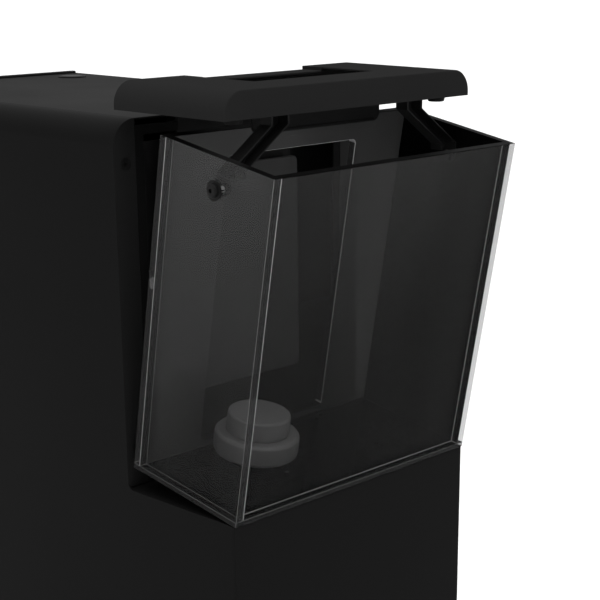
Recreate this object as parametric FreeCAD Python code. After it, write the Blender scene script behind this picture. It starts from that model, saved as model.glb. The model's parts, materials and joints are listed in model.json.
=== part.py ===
import FreeCAD, Part

import math
import os

from FreeCAD import Rotation, Vector

# Freestanding trash compactor with a clear bin that tilts out of the front.
# Millimetres. +X right, +Y to the back, +Z up. The origin is on the floor, midway between the
# cabinet's back and the front edge of the open bin. The bin is modelled open, the lid raised.

# ---- cabinet ------------------------------------------------------------------------------
width = 380.0                  # cabinet, bin and lid
depth = 700.0                  # cabinet at the base
height = 876.0                 # floor to top panel
step_height = 464.0            # floor to the step that carries the bin
step_depth = 175.4             # upper front stands back by this much
sheet = 2.0                    # cabinet panels
seam = 0.8                     # gap at a panel seam
panel_gap = 0.5                # clearance of a cover inside its neighbours
bullnose = 30.0                # round along both top edges
step_corner = 8.0              # inner corner of the side panel outline
kick_height = 20.0             # floor to the bottom edge of the panels
inner_drop = 2.0               # posts and cross plates end this far below the bullnose
rear_set = 3.0                 # rear panel inside the cabinet's back edges

# ---- upper front and top --------------------------------------------------------------------
opening_side = 42.0            # cabinet side to the press opening
opening_rise = 16.0            # step to the bottom edge of the press opening
band_gap = 7.7                 # dark gap between the front frame and the top panel
band_width = 10.6              # strip of front frame over the press opening
top_fold = 12.0                # folded edges under the top panel
lid_notch_side = 10.0          # lid carriage to the end of the notch it rises through
lid_notch_depth = 24.6
flange_screw_edge = 16.0       # cabinet side to the recessed screws in the front flanges
flange_screw_end = 47.6        # screws from the top panel and from the step
flange_screw_r = 7.0           # recess round the head
flange_head_r = 6.4
flange_head_set = 0.6          # head below the flange's face
flange_shank_r = 2.5
flange_shank_out = 4.0         # shank past the post
flange_socket_r = 2.0
flange_socket_deep = 1.0
trim_depth = 8.0
trim_height = 3.0
trim_round = 2.0
button_x = 114.0
button_inset = 58.0            # button centre to the cabinet's back
button_r = 15.0
button_travel = 2.5
bezel_width = 4.0
bezel_height = 1.2
button_proud = 0.6             # button over its bezel
button_round = 1.2
button_deep = 10.0             # button under the top panel
cup_wall = 3.0
cup_spare = 5.5                # room under the pressed button
cup_floor = 2.0

# ---- base and posts -------------------------------------------------------------------------
rail = 30.0                    # base channel, square
rail_wall = 2.5
post = 25.0                    # corner angle, both legs
post_wall = 2.0
foot_r = 19.0
foot_pad = 12.0
foot_taper = 4.0
foot_stud_r = 5.0
foot_stud_up = 21.0            # stud inside the channel
foot_nut_rim = 4.0
foot_nut_h = 6.0
foot_block = 14.0              # half width of the block that takes the stud
foot_inset = 34.0
foot_front_set = 3.0
foot_rear_set = 6.0
foot_edge = 1.0                # pad inside the cabinet's side
base_set = 2.0                 # base frame over the panels' lower edge

# ---- rear -----------------------------------------------------------------------------------
vent_rows = 9
vent_pitch = 12.0
vent_length = 110.0
vent_width = 5.0
vent_drop = 186.0              # top panel to the lowest row
vent_middle = 20.0             # half gap between the two columns
inlet_x = -120.0
inlet_z = 120.0
inlet_w = 27.0
inlet_h = 20.0
inlet_flange = 4.0
inlet_body = 26.0
inlet_lip = 2.0
inlet_wall = 3.0
inlet_floor = 4.0
inlet_pin_w = 1.6
inlet_pin_h = 4.0
inlet_pin_set = 6.0            # pin ends behind the rear panel's face
inlet_pins = ((-7.0, -2.0), (7.0, -2.0), (0.0, 3.0))
control_w = 150.0
control_h = 130.0
control_d = 60.0
control_x = 70.0
control_z = 170.0
control_round = 4.0
rear_screw_r = 4.0
rear_screw_head = 2.2
rear_socket_r = 1.6
rear_socket_deep = 1.2
rear_screw_rows = 4
rear_screw_edge = 10.0
rear_screw_low = 50.0
rear_screw_drop = 90.0         # top panel to the top row

# ---- bin ------------------------------------------------------------------------------------
bin_rear_gap = 6.7             # upright bin to the upper front
rim_drop = 30.5                # upright bin's rim below the cabinet's top
bin_wall = 10.0
bin_floor = 5.5
bin_lift = 1.5                 # running gap between bin floor and step
open_tilt = 10.0               # degrees the bin leans forward when open
window_side = 10.0             # press plate to the side of the window in the rear wall
window_low = 14.0
window_rim = 29.0              # window to the bin's rim
window_round = 6.0
hinge_drop = 8.0               # hinge axis below the step
hinge_inset = 8.0              # hinge axis behind the lower front
hinge_pin_r = 2.5
hinge_gap = 0.06               # radial clearance on the pin
knuckle_r = 5.5
knuckle_w = 40.0
knuckle_edge = 60.0            # cabinet side to the middle of each hinge
leaf = 1.2
leaf_depth = 18.0              # rear edge of a hinge leaf behind the front face
leaf_clear = 2.0
web_front = 3.0                # hinge web before and behind the axis
web_rear = 4.0
lug_w = 6.0
lug_gap = 0.5

# ---- canister on the bin floor --------------------------------------------------------------
canister_x = -61.0
canister_gap = 2.0             # canister to the bin's rear wall
canister_r = 49.0
canister_h = 26.0
canister_cap_r = 36.2
canister_cap_h = 22.9
canister_edge = 3.0
canister_lift = 8.0            # canister stands on a foot of this height
canister_foot_r = 26.0
floor_screw_left = -58.0
floor_screw_right = 94.0
floor_screw_before = 1.7       # front screws before the canister
floor_screw_rear = 16.7        # from the bin's rear face
floor_screw_gap = 3.5          # rear left screw to the canister
floor_screw_r = 2.5
floor_shank_r = 2.0
floor_skin = 1.5               # floor left under the screws
floor_screw_head = 1.2

# ---- arms and lid ---------------------------------------------------------------------------
pivot_drop = 33.8              # arm pivot below the bin's rim
pivot_r = 4.0
pivot_gap = 0.06
washer_r = 10.5
washer_t = 1.6
bolt_head_r = 7.5
bolt_head_t = 4.2
bolt_round = 2.5
bolt_socket_r = 2.4
bolt_socket_deep = 2.4
nut_r = 6.5
nut_t = 5.0
nut_gap = 0.3                  # nut to the arm
arm_side_gap = 0.4             # arm to bin wall
arm_w = 26.0
arm_half = 8.5                 # half depth of the arm channel
arm_wall = 2.5
arm_lean = 61.6                # the arm leans in by this much on its way up
arm_low_bend = 15.0            # above the pivot
arm_bend_drop = 18.0           # upper bend below the arm pin
lid_height = 29.5
lid_front_set = 1.5            # lid front face behind the bin's front face
lid_rear_gap = 4.2             # lid rear face to the upper front
lid_sheet = 2.0
lid_round = 25.0
lid_edge = 1.6
lid_gap = 1.0                  # lid underside over the upright bin's rim
aperture_side = 97.0           # cabinet side to the feed aperture
aperture_front = 60.0          # from the bin's front face
aperture_rear = 141.0
ledge_inset = 2.0              # ledge inside the ends of the aperture
ledge_drop = 4.0
deflector_over = 6.0           # deflector past the ends of the aperture
deflector_drop = 25.0
deflector_round = 10.0
deflector_t = 3.0
bead_r = 2.2
arm_pin_up = 7.905             # arm pin over the underside of the lid
arm_pin_back = 16.2304         # arm pin behind the lid's front face
arm_pin_r = 3.5
arm_pin_proud = 1.0
bracket_t = 2.5
bracket_side_gap = 0.5
bracket_rim = 3.5
slot_gap = 0.4
bumper_edge = 32.0             # lid side to the bumper
bumper_y = 23.0
bumper_r = 10.5
bumper_h = 6.0
bumper_taper = 1.5
bumper_stem_r = 4.0
bridge_reach = 16.0            # strip round each bumper

# ---- lid carriage ---------------------------------------------------------------------------
carriage_inset = 3.0           # carriage inside the ends of the lid's ledge
carriage_t = 3.0
carriage_back = 19.6           # hanger front face behind the upper front's face, less its sheet
carriage_drop = 85.0
carriage_flange = 22.0
carriage_rise = 2.0            # carriage over the lid's underside
rail_inset = 28.0              # end of the carriage to the rail
rail_r = 5.0
rail_gap = 0.05
bush_r = 9.0
bush_len = 32.0
bush_set = 3.0                 # bush over the lower edge of the carriage
rail_end_gap = 14.5            # bush over the lower lug when the lid is down
rail_top_gap = 6.0
rail_plate_gap = 3.0           # bush to the plate behind it
rail_lug = 6.0
rail_lug_side = 20.0
rail_lug_rim = 3.0

# ---- press ----------------------------------------------------------------------------------
stroke = 140.0
press_side = 100.0             # cabinet side to the press plate
press_rise = 92.0              # step to the press plate's lower edge
press_drop = 64.0              # press plate below the cabinet's top
press_t = 6.0
press_round = 6.0
press_set = 4.6                # press face behind the upper front's face
tube_inset = 40.0              # press plate's side to the push tube
tube_r = 12.0
tube_wall = 2.0
tube_spare = 90.0              # push tube longer than the stroke
bush_wall = 4.0
guide_set = 42.6               # guide plate behind the upper front's face
guide_t = 6.0
guide_drop = 64.0              # guide plate below the screws
screw_out = 20.0               # press plate's side to the drive screw
screw_front = 6.0              # screw ends before the guide plate and behind the sprocket
screw_rear = 4.0
screw_r = 8.0
screw_gap = 0.06
bearing_r = 14.0
bearing_len = 12.0
nut_body_r = 15.0
nut_body_len = 24.0
crosshead_end = 25.0           # screw to the end of the crosshead
crosshead_t = 12.0
crosshead_h = 40.0
bulkhead_set = 304.6           # bulkhead behind the upper front's face
bulkhead_foot = 60.0           # bulkhead below the motor
chain_set = 20.0               # chain plane behind the bulkhead's front face
sprocket_r = 28.0
motor_sprocket_r = 14.0
sprocket_t = 6.0
chain_band = 7.0
chain_w = 8.0
chain_gap = 0.5
chain_clear = 5.0              # motor bracket below the motor's axis, to pass under the chain
hub_wall = 4.0
hub_side = 3.0
motor_drop = 84.0              # motor below the drive screws
motor_shaft_r = 6.0
shaft_end = 4.0
shaft_gap = 0.5
gearbox_half = 36.0
gearbox_d = 64.0
gearbox_gap = 12.0             # sprocket to the gearbox
gearbox_round = 5.0
motor_r = 34.0
motor_len = 84.0
bracket_sheet = 3.0
bracket_low = 4.0              # bracket over the gearbox's lower face
bracket_foot = 22.0

# ---- making -------------------------------------------------------------------------------------
past = 1.0                     # cutting tools run this far past a face
short = 0.1                    # roundings of a full half width stop short by this much
near = 1e-6                    # tolerance when an edge is picked by its place
drift_steps = 24               # positions at which the arm pin's wander is sampled

# ---- places worked out from the sizes above -------------------------------------------------
bin_depth = step_depth - bin_rear_gap
bin_height = height - step_height - bin_lift - rim_drop
tilt = math.radians(open_tilt)
bin_reach = bin_lift + bin_height + hinge_drop
overhang = bin_reach * math.sin(tilt) + hinge_inset * (math.cos(tilt) - 1)
half = width / 2
y_front = -(depth - overhang) / 2
y_back = y_front + depth
y_upper = y_front + step_depth
inner_half = half - sheet
top_half = half - bullnose
inner_top = height - bullnose - inner_drop
cup_deep = button_deep + button_travel + cup_spare
rear_y = y_back - rear_set
rear_inside = rear_y - sheet
base_low = kick_height + base_set
bin_base = step_height + bin_lift
hinge_y = y_front + hinge_inset
hinge_z = step_height - hinge_drop
lid_y0 = y_front + lid_front_set
lid_y1 = y_upper - lid_rear_gap
lid_closed = bin_base + bin_height + lid_gap
frame_top = height - band_gap
opening_half = half - opening_side
opening_low = step_height + opening_rise
flange_screw_x = half - flange_screw_edge
window_top = bin_height - window_rim
pivot_height = bin_height - pivot_drop
pivot_over_hinge = bin_lift + pivot_height + hinge_drop
pivot_depth = hinge_inset + (lid_y0 + arm_pin_back - hinge_y
                             + pivot_over_hinge * math.sin(tilt)) / math.cos(tilt)
knuckle_x = (knuckle_edge - half, half - knuckle_edge)
arm_outer = half - bin_wall - arm_side_gap
arm_top_outer = arm_outer - arm_lean
bumper_x = half - bumper_edge
aperture_half = half - aperture_side
aperture_y0 = y_front + aperture_front
aperture_y1 = y_front + aperture_rear
ledge_half = aperture_half - ledge_inset
deflector_half = aperture_half + deflector_over
carriage_half = ledge_half - carriage_inset
carriage_front = y_upper - sheet + carriage_back
lid_notch_half = carriage_half + lid_notch_side
rail_x = carriage_half - rail_inset
rail_y = carriage_front + bush_r
rail_low = lid_closed - carriage_drop + bush_set - rail_end_gap - rail_lug
rail_top = height - sheet - rail_top_gap
press_half = half - press_side
press_low = step_height + press_rise
press_top = height - press_drop
press_face = y_upper + press_set
window_half = press_half + window_side
drive_z = (press_low + press_top) / 2
motor_z = drive_z - motor_drop
tube_x = press_half - tube_inset
screw_x = press_half + screw_out
tube_len = stroke + tube_spare
crosshead_y = press_face + press_t + tube_len
crosshead_half = screw_x + crosshead_end
guide_y = y_upper + guide_set
bulkhead_y = y_upper + bulkhead_set
chain_y = bulkhead_y + chain_set
gearbox_y = chain_y + sprocket_t / 2 + gearbox_gap
button_y = y_back - button_inset


def box(x0, x1, y0, y1, z0, z1):
    return Part.makeBox(x1 - x0, y1 - y0, z1 - z0, Vector(x0, y0, z0))


def rod(axis, x, y, z, r, length):
    way = {"x": Vector(1, 0, 0), "y": Vector(0, 1, 0), "z": Vector(0, 0, 1)}[axis]
    return Part.makeCylinder(r, length, Vector(x, y, z), way)


def ring(axis, x, y, z, r_out, r_in, length):
    return rod(axis, x, y, z, r_out, length).cut(rod(axis, x, y, z, r_in, length))


def prism(points, way):
    """Solid swept along way from the closed outline through points."""
    wire = Part.makePolygon([Vector(*p) for p in points] + [Vector(*points[0])])
    return Part.Face(wire).extrude(Vector(*way))


def mirrored(shape):
    return shape.mirror(Vector(0, 0, 0), Vector(1, 0, 0))


def both(shape):
    """The shape and its mirror image across the middle plane, as separate solids."""
    return Part.makeCompound([shape, mirrored(shape)])


def group(shapes):
    return Part.makeCompound(list(shapes))


def fused(shapes):
    shapes = list(shapes)
    return shapes[0].multiFuse(shapes[1:]).removeSplitter()


def edges_at(shape, **place):
    """Edges whose middle lies at the given x, y or z."""
    return [e for e in shape.Edges
            if all(abs(getattr(e.CenterOfMass, k) - v) < near for k, v in place.items())]


def edges_long(shape, length):
    """Straight edges of the given length."""
    return [e for e in shape.Edges if abs(e.Length - length) < near and len(e.Vertexes) == 2]


def rounded_top(half_x, z0, z1, r, y0, y1):
    """Block along Y with both top edges rounded by r."""
    c = r * (1 - math.sqrt(0.5))
    x = half_x
    edges = [Part.LineSegment(Vector(-x, y0, z0), Vector(x, y0, z0)).toShape(),
             Part.LineSegment(Vector(x, y0, z0), Vector(x, y0, z1 - r)).toShape(),
             Part.Arc(Vector(x, y0, z1 - r), Vector(x - c, y0, z1 - c), Vector(x - r, y0, z1)).toShape(),
             Part.LineSegment(Vector(x - r, y0, z1), Vector(r - x, y0, z1)).toShape(),
             Part.Arc(Vector(r - x, y0, z1), Vector(c - x, y0, z1 - c), Vector(-x, y0, z1 - r)).toShape(),
             Part.LineSegment(Vector(-x, y0, z1 - r), Vector(-x, y0, z0)).toShape()]
    return Part.Face(Part.Wire(edges)).extrude(Vector(0, y1 - y0, 0))


def tilted(shape, angle=open_tilt):
    """The shape turned about the bin hinge; positive leans it forward."""
    turned = shape.copy()
    turned.rotate(Vector(0, hinge_y, hinge_z), Vector(1, 0, 0), angle)
    return turned


def on_hinge(y, z, angle):
    """A point of the upright bin after the bin leans forward by angle degrees."""
    a = math.radians(angle)
    dy = y - hinge_y
    dz = z - hinge_z
    return (hinge_y + dy * math.cos(a) - dz * math.sin(a),
            hinge_z + dy * math.sin(a) + dz * math.cos(a))


def linkage():
    """Pivot of the open bin, arm length and closed arm angle; open, the arms stand upright."""
    py0, pz0 = on_hinge(y_front + pivot_depth, bin_base + pivot_height, 0.0)
    py1, pz1 = on_hinge(y_front + pivot_depth, bin_base + pivot_height, open_tilt)
    rise = lid_closed + arm_pin_up - pz0
    angle = math.degrees(math.atan2(py0 - py1, rise))
    return py1, pz1, math.hypot(py1 - py0, rise), angle


pivot_y, pivot_z, arm_len, arm_swing = linkage()
pin_y = pivot_y
pin_z = pivot_z + arm_len
lid_open = pin_z - arm_pin_up
lid_lift = lid_open - lid_closed
arm_high_bend = arm_len - arm_bend_drop


def pin_drift():
    """Box that the arm pin wanders over, seen from the lid, as the bin closes."""
    seen = []
    for k in range(drift_steps + 1):
        share = k / drift_steps
        py, pz = on_hinge(y_front + pivot_depth, bin_base + pivot_height, open_tilt * (1 - share))
        a = math.radians(arm_swing * share)
        seen.append((py - arm_len * math.sin(a) - pin_y,
                     pz + arm_len * math.cos(a) + lid_lift * share - pin_z))
    ys = [p[0] for p in seen]
    zs = [p[1] for p in seen]
    return min(ys), max(ys), min(zs), max(zs)


# ---- cabinet shells -------------------------------------------------------------------------
def side_outline():
    """L-shaped outline of a side panel in the YZ plane, with a rounded inner corner."""
    z_top = height - bullnose
    c = step_corner
    y0 = y_front + sheet
    corner = Part.Arc(Vector(0, y_upper, step_height + c),
                      Vector(0, y_upper - c + c * math.cos(math.pi / 4),
                             step_height + c - c * math.sin(math.pi / 4)),
                      Vector(0, y_upper - c, step_height))
    points = [(y_upper - c, step_height), (y0, step_height), (y0, kick_height),
              (y_back, kick_height), (y_back, z_top), (y_upper, z_top), (y_upper, step_height + c)]
    points = [Vector(0, y, z) for y, z in points]
    edges = [Part.LineSegment(a, b).toShape() for a, b in zip(points, points[1:])]
    return Part.Face(Part.Wire(edges + [corner.toShape()]))


def right_side():
    wall = side_outline().extrude(Vector(sheet, 0, 0))
    wall.translate(Vector(inner_half, 0, 0))
    shell = rounded_top(half, height - bullnose - past, height, bullnose, y_upper, y_back)
    hollow = rounded_top(inner_half, height - bullnose - 2 * past, height - sheet,
                         bullnose - sheet, y_upper - past, y_back + past)
    nose = shell.cut(hollow).common(box(top_half, half, y_upper, y_back, height - bullnose, height))
    flange = box(top_half, inner_half, y_upper, y_upper + sheet,
                 step_height + sheet, height - bullnose)
    cap = rounded_top(inner_half, height - bullnose - past, height - sheet, bullnose - sheet,
                      y_upper, y_upper + sheet)
    cap = cap.common(box(top_half, half, y_upper, y_back, height - bullnose, height))
    side = fused([wall, nose, flange, cap])
    for z in flange_screw_heights():
        side = side.cut(flange_recess(z))
    return side


def flange_screw_heights():
    return (height - flange_screw_end, step_height + flange_screw_end)


def flange_head(z):
    """Countersunk head from its recess to the back of the flange."""
    deep = sheet - flange_head_set
    return Part.makeCone(flange_head_r, flange_shank_r, deep,
                         Vector(flange_screw_x, y_upper + flange_head_set, z), Vector(0, 1, 0))


def flange_recess(z):
    ring_cut = rod("y", flange_screw_x, y_upper - past, z, flange_screw_r, flange_head_set + past)
    return ring_cut.fuse(flange_head(z))


def flange_screws():
    screws = []
    for z in flange_screw_heights():
        shank = rod("y", flange_screw_x, y_upper + sheet, z, flange_shank_r,
                    post_wall + flange_shank_out)
        socket = rod("y", flange_screw_x, y_upper, z, flange_socket_r,
                     flange_head_set + flange_socket_deep)
        screws.append(fused([flange_head(z), shank]).cut(socket))
    return group(screws + [mirrored(s) for s in screws])


def top_panel():
    x = top_half - seam
    panel = box(-x, x, y_upper, y_back, height - sheet, height)
    folds = [box(s * x - (sheet if s > 0 else 0), s * x + (0 if s > 0 else sheet),
                 y_upper + lid_notch_depth, rear_inside - panel_gap, height - top_fold,
                 height - sheet) for s in (-1, 1)]
    panel = fused([panel] + folds)
    panel = panel.cut(box(-lid_notch_half, lid_notch_half, y_upper - past,
                          y_upper + lid_notch_depth, height - sheet - past, height + past))
    return panel.cut(rod("z", button_x, button_y, height - sheet - past, button_r + panel_gap,
                         sheet + 2 * past))


def rear_top_trim():
    x = top_half - seam
    trim = box(-x, x, y_back - trim_depth, y_back, height, height + trim_height)
    edge = edges_at(trim, z=height + trim_height, y=y_back - trim_depth)
    return trim.makeFillet(trim_round, edge)


def button_bezel():
    return ring("z", button_x, button_y, height, button_r + bezel_width, button_r + panel_gap,
                bezel_height)


def start_button():
    top = height + bezel_height + button_proud
    body = rod("z", button_x, button_y, height - button_deep, button_r, top - height + button_deep)
    return body.makeFillet(button_round, edges_at(body, z=top))


def button_holder():
    """Cup under the top panel that the button travels in."""
    z = height - sheet - cup_deep
    cup = ring("z", button_x, button_y, z, button_r + cup_wall, button_r + panel_gap, cup_deep)
    return cup.fuse(rod("z", button_x, button_y, z - cup_floor, button_r + cup_wall, cup_floor))


def front_frame():
    x = top_half - seam
    plate = box(-x, x, y_upper, y_upper + sheet, step_height + panel_gap, frame_top)
    plate = plate.cut(box(-opening_half, opening_half, y_upper - past, y_upper + sheet + past,
                          opening_low, frame_top - band_width))
    return plate.cut(box(-lid_notch_half, lid_notch_half, y_upper - past, y_upper + sheet + past,
                         frame_top - band_width - past, frame_top + past))


def lower_front_panel():
    return box(-half, half, y_front, y_front + sheet, kick_height, step_height)


def hinge_slots():
    return [(x - knuckle_w / 2 - lug_gap, x + knuckle_w / 2 + lug_gap) for x in knuckle_x]


def step_plate():
    """Step sheet with a slot for each hinge knuckle and two lugs beside each slot."""
    y0 = y_front + sheet
    plate = box(-inner_half, inner_half, y0, y_upper + sheet, step_height - sheet, step_height)
    lugs = []
    for x0, x1 in hinge_slots():
        plate = plate.cut(box(x0, x1, y0 - past, y_front + leaf_depth + leaf_clear,
                              step_height - sheet - past, step_height + past))
        for a, b in ((x0 - lug_w, x0), (x1, x1 + lug_w)):
            lug = box(a, b, y0, hinge_y + knuckle_r, hinge_z, step_height - sheet)
            lug = lug.fuse(rod("x", a, hinge_y, hinge_z, knuckle_r, b - a))
            lugs.append(lug.common(box(a, b, y0, y_upper, 0, height)))
    plate = fused([plate] + lugs)
    return plate.cut(rod("x", -half, hinge_y, hinge_z, hinge_pin_r, width))


def bin_hinge_pins():
    reach = knuckle_w / 2 + lug_gap + lug_w
    return group(rod("x", x - reach, hinge_y, hinge_z, hinge_pin_r, 2 * reach) for x in knuckle_x)


def rear_panel():
    panel = rounded_top(inner_half - panel_gap, kick_height, height - sheet - panel_gap,
                        bullnose - sheet - panel_gap, rear_inside, rear_y)
    for s in (-1, 1):
        for row in range(vent_rows):
            z = height - vent_drop + row * vent_pitch
            x = s * (vent_length / 2 + vent_middle)
            panel = panel.cut(box(x - vent_length / 2, x + vent_length / 2, rear_inside - past,
                                  rear_y + past, z, z + vent_width))
    return panel.cut(box(inlet_x - inlet_w / 2, inlet_x + inlet_w / 2, rear_inside - past,
                         rear_y + past, inlet_z - inlet_h / 2, inlet_z + inlet_h / 2))


def mains_inlet():
    x0 = inlet_x - inlet_w / 2
    x1 = inlet_x + inlet_w / 2
    z0 = inlet_z - inlet_h / 2
    z1 = inlet_z + inlet_h / 2
    back = rear_y - inlet_body
    body = box(x0, x1, back, rear_y, z0, z1)
    lip = box(x0 - inlet_flange, x1 + inlet_flange, rear_y, rear_y + inlet_lip,
              z0 - inlet_flange, z1 + inlet_flange)
    body = body.fuse(lip).removeSplitter()
    body = body.cut(box(x0 + inlet_wall, x1 - inlet_wall, back + inlet_floor,
                        rear_y + inlet_lip + past, z0 + inlet_wall, z1 - inlet_wall))
    pins = [box(inlet_x + dx - inlet_pin_w / 2, inlet_x + dx + inlet_pin_w / 2,
                back + inlet_floor, rear_y - inlet_pin_set,
                inlet_z + dz - inlet_pin_h / 2, inlet_z + dz + inlet_pin_h / 2)
            for dx, dz in inlet_pins]
    return fused([body] + pins)


def control_box():
    front = rear_inside - control_d
    case = box(control_x - control_w / 2, control_x + control_w / 2, front, rear_inside,
               control_z - control_h / 2, control_z + control_h / 2)
    return case.makeFillet(control_round, edges_at(case, y=front))


def rear_screws():
    x = inner_half - rear_screw_edge
    spacing = (height - rear_screw_drop - rear_screw_low) / (rear_screw_rows - 1)
    screws = []
    for row in range(rear_screw_rows):
        z = rear_screw_low + row * spacing
        head = rod("y", x, rear_y, z, rear_screw_r, rear_screw_head)
        socket = rod("y", x, rear_y + rear_screw_head - rear_socket_deep, z, rear_socket_r,
                     rear_socket_deep + past)
        screws.append(head.cut(socket))
    return group(screws + [mirrored(s) for s in screws])


# ---- base -----------------------------------------------------------------------------------
def base_frame():
    """Channel ring and two cross channels, all open underneath."""
    x = inner_half
    y0 = y_front + sheet
    y1 = rear_inside
    z0 = base_low
    z1 = z0 + rail
    w = rail_wall
    frame = box(-x, x, y0, y1, z0, z1)
    frame = frame.cut(box(-x + rail, x - rail, y0 + rail, y1 - rail, z0 - past, z1 + past))
    trough = box(-x + w, x - w, y0 + w, y1 - w, z0 - past, z1 - w)
    trough = trough.cut(box(-x + rail - w, x - rail + w, y0 + rail - w, y1 - rail + w,
                            z0 - 2 * past, z1 + past))
    frame = frame.cut(trough)
    bars = []
    for y in (y0 + depth / 3, y0 + 2 * depth / 3):
        bar = box(-x + rail, x - rail, y - rail / 2, y + rail / 2, z0, z1)
        bars.append(bar.cut(box(-x + rail - past, x - rail + past, y - rail / 2 + w,
                                y + rail / 2 - w, z0 - past, z1 - w)))
    blocks = [box(fx - foot_block, fx + foot_block, fy - foot_block, fy + foot_block, z0, z1 - w)
              for fx, fy in foot_places()]
    frame = fused([frame] + bars + blocks)
    for fx, fy in foot_places():
        frame = frame.cut(rod("z", fx, fy, z0 - past, foot_stud_r, foot_stud_up + past))
    return frame


def foot_places():
    x = half - foot_inset / 2
    ends = (y_front + foot_inset / 2 + foot_front_set, y_back - foot_inset / 2 - foot_rear_set)
    return [(s * x, y) for s in (-1, 1) for y in ends]


def levelling_feet():
    feet = []
    for x, y in foot_places():
        pad_x = x - math.copysign(foot_r - foot_inset / 2 + foot_edge, x)
        pad = Part.makeCone(foot_r, foot_r - foot_taper, foot_pad, Vector(pad_x, y, 0))
        stud = rod("z", x, y, foot_pad, foot_stud_r, base_low + foot_stud_up - foot_pad)
        nut = rod("z", x, y, base_low - foot_nut_h, foot_stud_r + foot_nut_rim, foot_nut_h)
        feet.append(fused([pad, stud, nut]))
    return group(feet)


def angle_post(x, y, z0, z1, sx, sy):
    """Corner angle whose heel is at x, y and whose legs run inward (-sx) and along sy."""
    a = [x, x - sx * post]
    b = [y, y + sy * post_wall]
    c = [x, x - sx * post_wall]
    d = [y, y + sy * post]
    leg1 = box(min(a), max(a), min(b), max(b), z0, z1)
    leg2 = box(min(c), max(c), min(d), max(d), z0, z1)
    return leg1.fuse(leg2).removeSplitter()


def corner_posts():
    z0 = base_low + rail
    middle = angle_post(inner_half, y_upper + sheet, z0, inner_top, 1, 1)
    for z in flange_screw_heights():
        middle = middle.cut(rod("y", flange_screw_x, y_upper, z, flange_shank_r,
                                sheet + post_wall + past))
    right = [angle_post(inner_half, y_front + sheet, z0, step_height - sheet, 1, 1), middle,
             angle_post(inner_half, rear_inside, z0, inner_top, 1, -1)]
    return group(right + [mirrored(p) for p in right])


# ---- bin ------------------------------------------------------------------------------------
def bin_panel(x0, x1, d0, d1, h0, h1):
    """Slab of the upright bin: x, distance behind its front face, height over its underside."""
    return box(x0, x1, y_front + d0, y_front + d1, bin_base + h0, bin_base + h1)


def bin_side(sign):
    x = [sign * half, sign * (half - bin_wall)]
    wall = bin_panel(min(x), max(x), 0, bin_depth - bin_wall, bin_floor, bin_height)
    hole = rod("x", min(x) - past, y_front + pivot_depth, bin_base + pivot_height, pivot_r,
               bin_wall + 2 * past)
    return tilted(wall.cut(hole))


def bin_front():
    x = half - bin_wall
    return tilted(bin_panel(-x, x, 0, bin_wall, bin_floor, bin_height))


def bin_rear():
    wall = bin_panel(-half, half, bin_depth - bin_wall, bin_depth, bin_floor, bin_height)
    window = bin_panel(-window_half, window_half, bin_depth - bin_wall - past, bin_depth + past,
                       window_low, window_top)
    corners = edges_long(window, bin_wall + 2 * past)
    return tilted(wall.cut(window.makeFillet(window_round, corners)))


def floor_screw_places():
    """Four screws through the bin floor; the rear left one stands clear of the canister."""
    front = bin_depth - bin_wall - canister_gap - 2 * canister_r - floor_screw_before
    rear = bin_depth - floor_screw_rear
    beside = canister_x - canister_r - floor_screw_r - floor_screw_gap
    return [(floor_screw_left, front), (floor_screw_right, front),
            (beside, rear), (floor_screw_right, rear)]


def bin_base_plate():
    plate = bin_panel(-half, half, 0, bin_depth, 0, bin_floor)
    for x, d in floor_screw_places():
        plate = plate.cut(rod("z", x, y_front + d, bin_base + floor_skin, floor_shank_r, bin_floor))
    return tilted(plate)


def floor_screws():
    screws = []
    for x, d in floor_screw_places():
        y = y_front + d
        z = bin_base + bin_floor
        shank = rod("z", x, y, bin_base + floor_skin, floor_shank_r, bin_floor - floor_skin)
        screws.append(tilted(shank.fuse(rod("z", x, y, z, floor_screw_r, floor_screw_head))))
    return group(screws)


def canister():
    """Deodoriser canister: its base with the foot under it, and its cap."""
    y = y_front + bin_depth - bin_wall - canister_r - canister_gap
    z = bin_base + bin_floor + canister_lift
    base = rod("z", canister_x, y, z, canister_r, canister_h)
    rims = [e for e in base.Edges if e.Closed]
    cap = rod("z", canister_x, y, z + canister_h, canister_cap_r, canister_cap_h)
    top = [e for e in edges_at(cap, z=z + canister_h + canister_cap_h) if e.Closed]
    foot = rod("z", canister_x, y, z - canister_lift, canister_foot_r, canister_lift)
    return (tilted(base.makeChamfer(canister_edge, rims).fuse(foot)),
            tilted(cap.makeFillet(canister_edge, top)))


def bin_hinge_leaves():
    leaves = []
    for x in knuckle_x:
        x0 = x - knuckle_w / 2
        barrel = rod("x", x0, hinge_y, hinge_z, knuckle_r, knuckle_w)
        web = box(x0, x0 + knuckle_w, hinge_y - web_front, hinge_y + web_rear, hinge_z,
                  bin_base - leaf / 2)
        plate = box(x0, x0 + knuckle_w, hinge_y - web_front, y_front + leaf_depth,
                    bin_base - leaf, bin_base)
        leaf_part = fused([barrel, web, plate])
        leaf_part = leaf_part.cut(rod("x", x0 - past, hinge_y, hinge_z, hinge_pin_r + hinge_gap,
                                      knuckle_w + 2 * past))
        leaves.append(tilted(leaf_part))
    return group(leaves)


# ---- arms -----------------------------------------------------------------------------------
def arm_outline(y, inset, z_low):
    """Right arm seen from the front: upright at the bin wall, leaning in, upright at the lid."""
    xo = arm_outer
    xt = arm_top_outer
    top = arm_len + arm_half
    rows = [(xo - inset, z_low), (xo - inset, arm_low_bend), (xt - inset, arm_high_bend),
            (xt - inset, top), (xt - arm_w + inset, top), (xt - arm_w + inset, arm_high_bend),
            (xo - arm_w + inset, arm_low_bend), (xo - arm_w + inset, z_low)]
    return [(x, y, pivot_z + z) for x, z in rows]


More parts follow.
